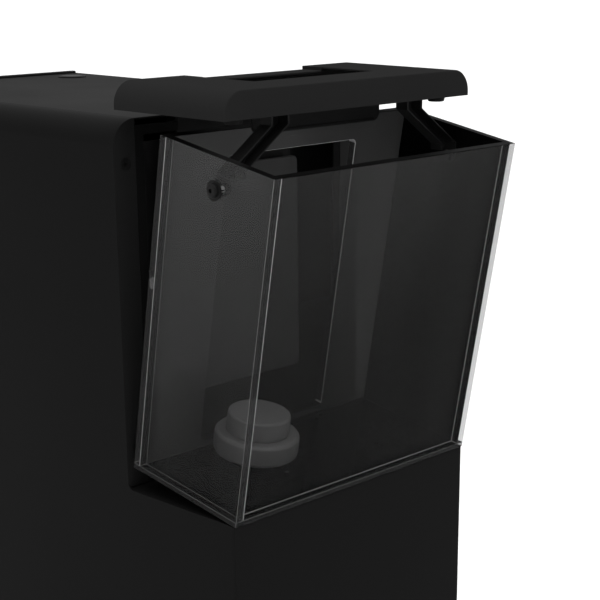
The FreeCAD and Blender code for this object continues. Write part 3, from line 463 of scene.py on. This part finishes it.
# ---- mesh work ---------------------------------------------------------------------------------
def slot_of(node: str) -> str:
    """Material slot that the record gives to a CAD node."""
    return next(p["material_slot"] for p in frame["record"]["subparts"] if p["node"] == node)


def body_of(node: str) -> str:
    """Body that a CAD node belongs to."""
    bodies = frame["record"]["behaviour"]["bodies"]
    return next(body for body, nodes in bodies.items() if node in nodes)


def to_object(name: str, bm: bmesh.types.BMesh, materials: Sequence[bpy.types.Material],
              sharp: float = 40.0) -> bpy.types.Object:
    """Makes a shaded object from a bmesh and frees it.

    Args:
        name: object and mesh name.
        bm: the shape, in metres and in the row frame.
        materials: materials in slot order.
        sharp: edges that turn by more degrees than this stay sharp.

    Returns:
        The object, linked to the scene.
    """
    mesh = bpy.data.meshes.new(name)
    bm.to_mesh(mesh)
    bm.free()
    for material in materials:
        mesh.materials.append(material)
    mesh.polygons.foreach_set("use_smooth", [True] * len(mesh.polygons))
    mesh.set_sharp_from_angle(angle=math.radians(sharp))
    made = bpy.data.objects.new(name, mesh)
    bpy.context.scene.collection.objects.link(made)
    return made


def frozen(source: bpy.types.Object) -> bpy.types.Object:
    """Replaces an object's mesh by its evaluated mesh and drops its modifiers."""
    graph = bpy.context.evaluated_depsgraph_get()
    mesh = bpy.data.meshes.new_from_object(source.evaluated_get(graph), depsgraph=graph)
    mesh.name = source.name
    source.modifiers.clear()
    source.data = mesh
    return source


def eased_copy(node: str, name: str, ease: float, materials: Sequence[bpy.types.Material],
               shrink: float = 0.0, segments: int = 2,
               pick: Optional[Callable[[Vector, Vector], int]] = None) -> bpy.types.Object:
    """Copy of a CAD node with its hard edges eased, to stand for that node.

    Args:
        node: the CAD node.
        name: name of the new piece.
        ease: width of the eased edges, in millimetres.
        materials: materials in slot order.
        shrink: how far the faces draw in, in millimetres.
        segments: facets across an eased edge.
        pick: gives a face's material index from its normal and middle.

    Returns:
        The piece, riding on the node's body.
    """
    bm = bmesh.new()
    bm.from_mesh(frame["nodes"][node].data)
    bmesh.ops.remove_doubles(bm, verts=bm.verts, dist=2e-6)
    bmesh.ops.dissolve_limit(bm, angle_limit=math.radians(0.6), verts=bm.verts, edges=bm.edges)
    if shrink > 0.0:
        bm.normal_update()
        steps = [(v, v.normal * -shrink * MM) for v in bm.verts]
        for vert, step in steps:
            vert.co += step
    hard = [e for e in bm.edges if e.is_manifold and e.calc_face_angle(0.0) > math.radians(35)]
    bmesh.ops.bevel(bm, geom=hard, offset=ease * MM, offset_type="OFFSET", segments=segments,
                    profile=0.5, affect="EDGES", clamp_overlap=True)
    bm.normal_update()
    if pick is not None:
        for face in bm.faces:
            face.material_index = pick(face.normal, face.calc_center_median())
    made = to_object(name, bm, materials)
    weighted = made.modifiers.new("weighted", "WEIGHTED_NORMAL")
    weighted.keep_sharp = True
    weighted.weight = 80
    frozen(made)
    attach(made, body_of(node))
    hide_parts(node)
    slot_of(node)
    return made


# ---- geometry node trees -----------------------------------------------------------------------
class ShapeKit:
    """Geometry node tree built in the script, with named inputs for its sizes."""

    def __init__(self, name: str, sizes: dict[str, float]) -> None:
        """Makes a tree with a geometry input and output and one float input for each size.

        Args:
            name: the tree's name.
            sizes: input name to its value.
        """
        self.tree = bpy.data.node_groups.new(name, "GeometryNodeTree")
        face = self.tree.interface
        face.new_socket("Geometry", in_out="INPUT", socket_type="NodeSocketGeometry")
        face.new_socket("Geometry", in_out="OUTPUT", socket_type="NodeSocketGeometry")
        for size in sizes:
            face.new_socket(size, in_out="INPUT", socket_type="NodeSocketFloat")
        self.sizes = sizes
        self.entry = self.tree.nodes.new("NodeGroupInput")

    def node(self, kind: str, settings: dict[str, Any], inputs: dict[Any, Any]) -> bpy.types.Node:
        """Adds any node: its settings first, then its sockets.

        Args:
            kind: the node's type.
            settings: the node's properties.
            inputs: socket name or index to a value or an output socket.

        Returns:
            The node.
        """
        node = self.tree.nodes.new(kind)
        for key, value in settings.items():
            setattr(node, key, value)
        for key, value in inputs.items():
            if isinstance(value, bpy.types.NodeSocket):
                self.tree.links.new(value, node.inputs[key])
            else:
                node.inputs[key].default_value = value
        return node

    def size(self, name: str) -> bpy.types.NodeSocket:
        """The group input socket of a named size."""
        return self.entry.outputs[name]

    def sum(self, first: Any, second: Any, operation: str = "ADD") -> bpy.types.NodeSocket:
        """Result of one Math node on two values or sockets."""
        return self.node("ShaderNodeMath", {"operation": operation},
                         {0: first, 1: second}).outputs[0]

    def vector(self, x: Any, y: Any, z: Any) -> bpy.types.NodeSocket:
        """Vector made from three values or sockets."""
        return self.node("ShaderNodeCombineXYZ", {}, {0: x, 1: y, 2: z}).outputs[0]

    def finish(self, geometry: bpy.types.NodeSocket, material: bpy.types.Material) -> None:
        """Ends the tree in Realize Instances and Set Material.

        Args:
            geometry: what the tree has made.
            material: the material that it gets.
        """
        real = self.node("GeometryNodeRealizeInstances", {}, {0: geometry})
        dressed = self.node("GeometryNodeSetMaterial", {},
                            {"Geometry": real.outputs[0], "Material": material})
        self.node("NodeGroupOutput", {}, {0: dressed.outputs[0]})

    def run(self, name: str, base: bpy.types.Object) -> bpy.types.Object:
        """Runs the tree on a base object and returns the result as a plain mesh object.

        Args:
            name: name of the result.
            base: the object whose geometry goes in; it is removed.

        Returns:
            The result, with no modifier left.
        """
        live = base.modifiers.new("shape", "NODES")
        live.node_group = self.tree
        keys = {item.name: item.identifier for item in self.tree.interface.items_tree
                if item.in_out == "INPUT"}
        for size, value in self.sizes.items():
            live[keys[size]] = value
        graph = bpy.context.evaluated_depsgraph_get()
        mesh = bpy.data.meshes.new_from_object(base.evaluated_get(graph), depsgraph=graph)
        mesh.name = name
        base.modifiers.clear()
        bpy.data.objects.remove(base)
        mesh.polygons.foreach_set("use_smooth", [True] * len(mesh.polygons))
        mesh.set_sharp_from_angle(angle=math.radians(35))
        made = bpy.data.objects.new(name, mesh)
        bpy.context.scene.collection.objects.link(made)
        return made


def poly_line(name: str, points: Iterable[Vector], closed: bool = False) -> bpy.types.Object:
    """Curve object with one straight-segment spline.

    Args:
        name: the curve's name.
        points: the points it passes through.
        closed: whether the last point joins the first.

    Returns:
        The curve object.
    """
    points = list(points)
    curve = bpy.data.curves.new(name, "CURVE")
    curve.dimensions = "3D"
    spline = curve.splines.new("POLY")
    spline.points.add(len(points) - 1)
    for place, point in zip(spline.points, points):
        place.co = (*point, 1.0)
    spline.use_cyclic_u = closed
    made = bpy.data.objects.new(name, curve)
    bpy.context.scene.collection.objects.link(made)
    return made


# ---- sub-assemblies ----------------------------------------------------------------------------
@dataclass
class Cabinet:
    """Stepped steel shell with its top, front frame, step, rear panel and start button."""

    finishes: Finishes
    edge: float = 0.5
    seam_edge: float = 0.7
    step_height: float = 464.0
    vent_rows: int = 9
    vent_pitch: float = 12.0
    vent_low: float = 690.0
    vent_open: float = 5.0
    vent_length: float = 110.0
    vent_centre: float = 75.0
    hood_reach: float = 2.2

    def build(self) -> None:
        """Builds the eased panels and the vent hoods."""
        # Slot 1 is the lighter flange paint, painted light against the bin's shadow; only the side
        # panels' picker uses it.
        for node, ease in (("right_side_panel", self.seam_edge),
                           ("left_side_panel", self.seam_edge),
                           ("top_panel", self.edge), ("rear_top_trim", self.edge),
                           ("front_frame", self.edge), ("lower_front_panel", self.edge),
                           ("step_plate", 0.4), ("button_bezel", 0.3), ("rear_panel", 0.3)):
            eased_copy(node, node + "_sheet", ease, [self.finishes.get(slot_of(node)),
                                                     self.finishes.get("flange_painted_light")],
                       pick=self.facing if node.endswith("side_panel") else None)
            log.info("cabinet: %s", node)
        self.vent_hoods()

    def facing(self, normal: Vector, middle: Vector) -> int:
        """Material index of a side panel's face: 1 on the flange that faces the bin, whose lighter
        paint is painted light against the shadow the bin casts there, else 0.

        Args:
            normal: the face's direction.
            middle: the face's middle, in metres.
        """
        return 1 if normal.y < -SQUARE_ON and middle.z > self.step_height * MM else 0

    def vent_hoods(self) -> None:
        """Pressed hoods over the slots of the rear panel."""
        face_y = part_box("rear_panel")[1][1] / MM
        bm = bmesh.new()
        for side in (-1, 1):
            for row in range(self.vent_rows):
                z = self.vent_low + row * self.vent_pitch + self.vent_open + self.hood_reach * 0.5
                bm.verts.new(Vector((side * self.vent_centre, face_y, z)) * MM)
        base = to_object("vent_places", bm, [])
        kit = ShapeKit("vent_hood_tree", {"Length": self.vent_length * MM,
                                          "Reach": self.hood_reach * MM})
        hood = kit.node("GeometryNodeMeshCylinder", {"fill_type": "NGON"},
                        {"Vertices": 16, "Side Segments": 1, "Radius": kit.size("Reach"),
                         "Depth": kit.size("Length")})
        turned = kit.node("GeometryNodeTransform", {},
                          {"Geometry": hood.outputs["Mesh"], "Rotation": (0.0, math.pi / 2, 0.0)})
        placed = kit.node("GeometryNodeInstanceOnPoints", {},
                          {"Points": kit.entry.outputs["Geometry"], "Instance": turned.outputs[0]})
        kit.finish(placed.outputs[0], self.finishes.get("cabinet_paint"))
        hoods = kit.run("vent_hoods", base)
        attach(hoods, Body.CABINET.value)
        log.info("cabinet: vent hoods")


@dataclass
class Bin:
    """Tilting acrylic bin with its canister; the eased edges round the slabs' ends and rims carry
    a painted highlight, as if they catch the light.
    """

    finishes: Finishes
    lean: float = 10.0
    edge: float = 0.6
    glue_line: float = 0.06
    canister_edge: float = 1.4

    def build(self) -> None:
        """Builds the five slabs and the canister."""
        for node, inside, face, back in (
                ("bin_left_wall", (1, 0, 0), "smoked_acrylic", "smoked_acrylic"),
                ("bin_right_wall", (-1, 0, 0), "black_acrylic", "clear_acrylic"),
                ("bin_front_wall", (0, 1, 0), "front_acrylic", "front_acrylic"),
                ("bin_rear_wall", (0, -1, 0), "dark_acrylic", "clear_acrylic"),
                ("bin_floor", (0, 0, 1), "black_acrylic", "black_acrylic")):
            # Slot 2 is the light grey painted highlight on the eased edges.
            looks = [self.finishes.get(name)
                     for name in (face, back, "painted_edge_highlight", "dark_edge", "sawn_edge")]
            eased_copy(node, node + "_slab", self.edge, looks, shrink=self.glue_line,
                       segments=1, pick=self.picker(Vector(inside)))
            log.info("bin: %s", node)
        for node in ("deodoriser_base", "deodoriser_cap"):
            eased_copy(node, node + "_moulding", self.canister_edge,
                       [self.finishes.get("grey_plastic")], segments=3)
            log.info("bin: %s", node)

    def picker(self, inside: Vector) -> Callable[[Vector, Vector], int]:
        """Chooses the look of each face of one slab.

        Args:
            inside: direction from the slab to the inside of the upright bin.

        Returns:
            A function from a face's normal and middle to a material index: 0 for the inner
            face, 1 for the outer one, 2 for an eased edge, which carries a painted highlight,
            3 for the rim and 4 for an end.
        """
        upright = Matrix.Rotation(-math.radians(self.lean), 3, "X")

        def pick(normal: Vector, middle: Vector) -> int:
            """Material index of one face."""
            n = upright @ normal
            if inside.z == 0.0 and n.z > 0.5:
                return 3
            if n.dot(inside) > SQUARE_ON:
                return 0
            if max(abs(c) for c in n) < SQUARE_ON:
                return 2
            return 1 if n.dot(inside) < -SQUARE_ON or n.z < -SQUARE_ON else 4

        return pick


@dataclass
class Lid:
    """Raised lid with its deflector, brackets and carriage, and the two arms that carry it."""

    finishes: Finishes
    edge: float = 0.6
    arm_edge: float = 0.5

    def build(self) -> None:
        """Builds the lid's shell and fittings, then the arms."""
        for node, ease in (("lid_cover", self.edge), ("feed_deflector", 0.8),
                           ("lid_brackets", 0.4), ("bumper_bridges", 0.4), ("lid_carriage", 0.5),
                           ("lid_bumpers", 0.9)):
            eased_copy(node, node + "_eased", ease, [self.finishes.get(slot_of(node))])
            log.info("lid: %s", node)
        for node in (Body.RIGHT_ARM.value, Body.LEFT_ARM.value):
            eased_copy(node, node + "_channel", self.arm_edge, [self.finishes.get(slot_of(node))])
            log.info("lid: %s", node)


@dataclass
class Press:
    """Press plate, crosshead, threaded drive screws and roller chain."""

    finishes: Finishes
    edge: float = 0.8
    screw_radius: float = 8.0
    thread_depth: float = 1.2
    lead: float = 20.0
    starts: int = 4
    links: int = 92
    link_height: float = 6.0
    link_width: float = 7.6
    plate_thickness: float = 1.0
    chain_radius: float = 28.0
    motor_chain_radius: float = 14.0
    link_overlap: float = 1.30
    roller_share: float = 0.36
    roller_along: float = 0.385
    inner_narrowing: float = 0.26
    motor_ribs: int = 28
    can_radius: float = 34.0
    can_middle: float = 42.0
    rib_length: float = 62.0
    rib_height: float = 2.4
    rib_width: float = 1.4
    thread_facet: float = 1.25
    crest: float = 0.3
    flank_slope: float = 2.5

    def build(self) -> None:
        """Builds the press plate, the screws, the chain and the motor's ribs."""
        for node in ("press_plate", "crosshead", "gear_motor"):
            eased_copy(node, node + "_eased", self.edge, [self.finishes.get(slot_of(node))])
            log.info("press: %s", node)
        for node, body in (("left_drive_screw", Body.LEFT_SCREW),
                           ("right_drive_screw", Body.RIGHT_SCREW)):
            self.threaded(node, body)
        self.chain()
        self.ribs()

    def threaded(self, node: str, body: Body) -> None:
        """Multi-start threaded screw in place of a plain CAD one.

        Args:
            node: the CAD screw.
            body: the body it turns with.
        """
        low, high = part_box(node)
        middle = (Vector(low) + Vector(high)) / 2
        length = high[1] - low[1]
        kit = ShapeKit(node + "_tree", {
            "Radius": self.screw_radius * MM, "Thread Depth": self.thread_depth * MM,
            "Pitch": self.lead / self.starts * MM, "Length": length,
            "Middle X": middle.x, "Middle Y": middle.y, "Middle Z": middle.z})
        rod = kit.node("GeometryNodeMeshCylinder", {"fill_type": "TRIANGLE_FAN"},
                       {"Vertices": 32, "Side Segments": int(length / MM / self.thread_facet),
                        "Radius": kit.size("Radius"), "Depth": kit.size("Length")})
        where = kit.node("GeometryNodeInputPosition", {}, {}).outputs[0]
        xyz = kit.node("ShaderNodeSeparateXYZ", {}, {0: where}).outputs
        angle = kit.sum(xyz[1], xyz[0], "ARCTAN2")
        turns = kit.sum(kit.sum(angle, self.starts / (2 * math.pi), "MULTIPLY"),
                        kit.sum(xyz[2], kit.size("Pitch"), "DIVIDE"))
        wave = kit.sum(kit.sum(turns, 0.5, "PINGPONG"), 2.0, "MULTIPLY")
        slope = kit.sum(kit.sum(wave, self.crest, "SUBTRACT"), self.flank_slope, "MULTIPLY")
        flank = kit.node("ShaderNodeClamp", {}, {0: slope}).outputs[0]
        cut = kit.sum(kit.sum(flank, kit.size("Thread Depth"), "MULTIPLY"), kit.size("Radius"),
                      "DIVIDE")
        share = kit.sum(1.0, cut, "SUBTRACT")
        moved = kit.node("GeometryNodeSetPosition", {},
                         {"Geometry": rod.outputs["Mesh"],
                          "Position": kit.vector(kit.sum(xyz[0], share, "MULTIPLY"),
                                                 kit.sum(xyz[1], share, "MULTIPLY"), xyz[2])})
        laid = kit.node("GeometryNodeTransform", {},
                        {"Geometry": moved.outputs[0], "Rotation": (-math.pi / 2, 0.0, 0.0),
                         "Translation": kit.vector(kit.size("Middle X"), kit.size("Middle Y"),
                                                   kit.size("Middle Z"))})
        kit.finish(laid.outputs[0], self.finishes.get("bright_steel"))
        base = poly_line(node + "_axis", [Vector(low), Vector(high)])
        made = kit.run(node + "_thread", base)
        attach(made, body.value)
        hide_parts(node)
        log.info("press: %s", made.name)

    def pitch_line(self) -> list[Vector]:
        """Points of the chain's pitch line round its three sprockets."""
        stops = []
        for node, radius in (("left_sprocket", self.chain_radius),
                             ("right_sprocket", self.chain_radius),
                             ("motor_sprocket", self.motor_chain_radius)):
            low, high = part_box(node)
            stops.append(((low[0] + high[0]) / 2, (low[2] + high[2]) / 2, radius * MM))
        plane = sum(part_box("drive_chain")[k][1] for k in (0, 1)) / 2
        turns = []
        for (xa, za, ra), (xb, zb, rb) in zip(stops, stops[1:] + stops[:1]):
            span = math.hypot(xb - xa, zb - za)
            turns.append(math.atan2(zb - za, xb - xa) + math.pi / 2 + math.asin((rb - ra) / span))
        points = []
        for (x, z, r), start, end in zip(stops, turns[-1:] + turns[:-1], turns):
            swing = (start - end) % (2 * math.pi)
            steps = max(3, int(math.degrees(swing) / 6))
            for k in range(steps + 1):
                angle = start - swing * k / steps
                points.append(Vector((x + r * math.cos(angle), plane, z + r * math.sin(angle))))
        return points

    def chain(self) -> None:
        """Roller chain of alternating links along the pitch line."""
        line = self.pitch_line()
        around = sum((b - a).length for a, b in zip(line, line[1:] + line[:1]))
        pitch = around / self.links
        base = poly_line("chain_line", line, closed=True)
        half_width = (self.link_width - self.plate_thickness) / 2 * MM
        kit = ShapeKit("chain_tree", {
            "Links": float(self.links), "Link Length": pitch * self.link_overlap,
            "Link Height": self.link_height * MM, "Plate": self.plate_thickness * MM,
            "Half Width": half_width})
        plate = kit.node("GeometryNodeMeshCube", {},
                         {"Size": kit.vector(kit.size("Link Length"), kit.size("Plate"),
                                             kit.size("Link Height"))})
        both = kit.node("GeometryNodeJoinGeometry", {}, {})
        for side in (1.0, -1.0):
            offset = kit.sum(kit.size("Half Width"), side, "MULTIPLY")
            moved = kit.node("GeometryNodeTransform", {},
                             {"Geometry": plate.outputs["Mesh"],
                              "Translation": kit.vector(0.0, offset, 0.0)})
            kit.tree.links.new(moved.outputs[0], both.inputs[0])
        roller_radius = kit.sum(kit.size("Link Height"), self.roller_share, "MULTIPLY")
        roller = kit.node("GeometryNodeMeshCylinder", {"fill_type": "NGON"},
                          {"Vertices": 10, "Radius": roller_radius,
                           "Depth": kit.sum(kit.size("Half Width"), 2.0, "MULTIPLY")})
        roller_place = kit.sum(kit.size("Link Length"), self.roller_along, "MULTIPLY")
        lying = kit.node("GeometryNodeTransform", {},
                         {"Geometry": roller.outputs["Mesh"], "Rotation": (math.pi / 2, 0.0, 0.0),
                          "Translation": kit.vector(roller_place, 0.0, 0.0)})
        kit.tree.links.new(lying.outputs[0], both.inputs[0])
        spots = kit.node("GeometryNodeCurveToPoints", {"mode": "COUNT"},
                         {"Curve": kit.entry.outputs["Geometry"], "Count": kit.size("Links")})
        turn = kit.node("FunctionNodeAlignRotationToVector", {"axis": "X", "pivot_axis": "Y"},
                        {"Vector": spots.outputs["Tangent"]})
        index = kit.node("GeometryNodeInputIndex", {}, {}).outputs[0]
        odd = kit.sum(index, 2.0, "MODULO")
        narrow = kit.sum(1.0, kit.sum(odd, self.inner_narrowing, "MULTIPLY"), "SUBTRACT")
        links = kit.node("GeometryNodeInstanceOnPoints", {},
                         {"Points": spots.outputs["Points"], "Instance": both.outputs[0],
                          "Rotation": turn.outputs[0], "Scale": kit.vector(1.0, narrow, 1.0)})
        kit.finish(links.outputs[0], self.finishes.get("black_steel"))
        made = kit.run("roller_chain", base)
        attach(made, Body.CABINET.value)
        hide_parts("drive_chain")
        log.info("press: roller chain of %d links", self.links)

    def ribs(self) -> None:
        """Cooling ribs round the motor can."""
        low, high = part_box("gear_motor")
        kit = ShapeKit("motor_rib_tree", {
            "Radius": self.can_radius * MM, "Length": self.rib_length * MM,
            "Rib Height": self.rib_height * MM, "Rib Width": self.rib_width * MM,
            "Middle X": (low[0] + high[0]) / 2, "Middle Y": high[1] - self.can_middle * MM,
            "Middle Z": (low[2] + high[2]) / 2})
        circle = kit.node("GeometryNodeMeshCircle", {}, {"Vertices": self.motor_ribs,
                                                         "Radius": kit.size("Radius")})
        rib = kit.node("GeometryNodeMeshCube", {},
                       {"Size": kit.vector(kit.size("Rib Height"), kit.size("Rib Width"),
                                           kit.size("Length"))})
        where = kit.node("GeometryNodeInputPosition", {}, {}).outputs[0]
        turn = kit.node("FunctionNodeAlignRotationToVector", {"axis": "X", "pivot_axis": "Z"},
                        {"Vector": where})
        ring = kit.node("GeometryNodeInstanceOnPoints", {},
                        {"Points": circle.outputs["Mesh"], "Instance": rib.outputs["Mesh"],
                         "Rotation": turn.outputs[0]})
        laid = kit.node("GeometryNodeTransform", {},
                        {"Geometry": ring.outputs[0], "Rotation": (-math.pi / 2, 0.0, 0.0),
                         "Translation": kit.vector(kit.size("Middle X"), kit.size("Middle Y"),
                                                   kit.size("Middle Z"))})
        kit.finish(laid.outputs[0], self.finishes.get("motor_grey"))
        made = kit.run("motor_ribs", poly_line("motor_axis", [Vector(low), Vector(high)]))
        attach(made, Body.CABINET.value)
        log.info("press: motor ribs")


# ---- studio ------------------------------------------------------------------------------------
@dataclass
class Studio:
    """Pale floor, soft light and the camera."""

    eye: tuple[float, float, float] = (-1.2178, -1.4367, 1.0550)
    yaw: float = 46.9
    pitch: float = 17.8
    lens: float = 92.1
    shift: tuple[float, float] = (-0.0733, 0.2233)
    floor_half: float = 30.0
    horizon: float = 0.42
    zenith: float = 2.3
    key_power: float = 20.0

    def build(self) -> None:
        """Builds the floor, the lights and the camera."""
        self.floor()
        self.sky_light()
        self.soft_box("key_light", (-0.6, -1.2, 3.2), 2.4, self.key_power)
        self.camera()
        log.info("studio ready")

    def floor(self) -> None:
        """Wide plain floor."""
        bm = bmesh.new()
        s = self.floor_half
        corners = ((-s, -s, 0), (s, -s, 0), (s, s, 0), (-s, s, 0))
        bm.faces.new([bm.verts.new(Vector(corner)) for corner in corners])
        kit = ShaderKit("pale_floor", {"Specular IOR Level": 0.1})
        cloud = kit.noise(1.5, 2.0)
        kit.feed(Base_Color=kit.blend(cloud, grey(0.88), grey(0.92)),
                 Roughness=(cloud - 0.5) * 0.1 + 0.8)
        to_object("floor", bm, [kit.material])

    def sky_light(self) -> None:
        """Pale light from all round, strongest from above."""
        world = bpy.data.worlds.new("studio")
        world.use_nodes = True
        kit = NodeKit(world.node_tree)
        way = kit.node("ShaderNodeTexCoord", {}, {}).out("Generated")
        up = kit.node("ShaderNodeSeparateXYZ", {}, {0: way}).out("Z")
        strength = up * up * (self.zenith - self.horizon) + self.horizon
        glow = kit.node("ShaderNodeBackground", {}, {"Color": (1.0, 1.0, 1.0, 1.0),
                                                     "Strength": strength})
        kit.node("ShaderNodeOutputWorld", {}, {"Surface": glow.out()})
        bpy.context.scene.world = world

    @staticmethod
    def soft_box(name: str, place: tuple[float, float, float], size: float, power: float) -> None:
        """Square area light aimed at the compactor.

        Args:
            name: the light's name.
            place: where it stands, in metres.
            size: its side, in metres.
            power: its power, in watts.
        """
        light = bpy.data.lights.new(name, "AREA")
        light.size = size
        light.energy = power
        made = bpy.data.objects.new(name, light)
        made.location = place
        aim = Vector((0.0, -0.1, 0.7)) - Vector(place)
        made.rotation_euler = aim.to_track_quat("-Z", "Y").to_euler()
        bpy.context.scene.collection.objects.link(made)

    def camera(self) -> None:
        """Long-lens camera to the left of the front, looking slightly down."""
        data = bpy.data.cameras.new("camera")
        data.lens = self.lens
        data.sensor_width = 36.0
        data.shift_x, data.shift_y = self.shift
        data.clip_end = 100.0
        made = bpy.data.objects.new("camera", data)
        made.location = self.eye
        yaw = math.radians(self.yaw)
        pitch = math.radians(self.pitch)
        ahead = Vector((math.sin(yaw) * math.cos(pitch), math.cos(yaw) * math.cos(pitch),
                        -math.sin(pitch)))
        made.rotation_euler = ahead.to_track_quat("-Z", "Y").to_euler()
        bpy.context.scene.collection.objects.link(made)
        bpy.context.scene.camera = made
        bpy.context.scene.view_settings.view_transform = "Standard"


def main() -> None:
    """Builds the looks in order."""
    logging.basicConfig(level=logging.INFO, format="%(name)s: %(message)s")
    finishes = Finishes()
    finishes.build()
    finishes.dress_frame()
    Studio().build()
    for assembly in (Cabinet(finishes), Bin(finishes), Lid(finishes), Press(finishes)):
        assembly.build()


if __name__ == "__main__":
    main()
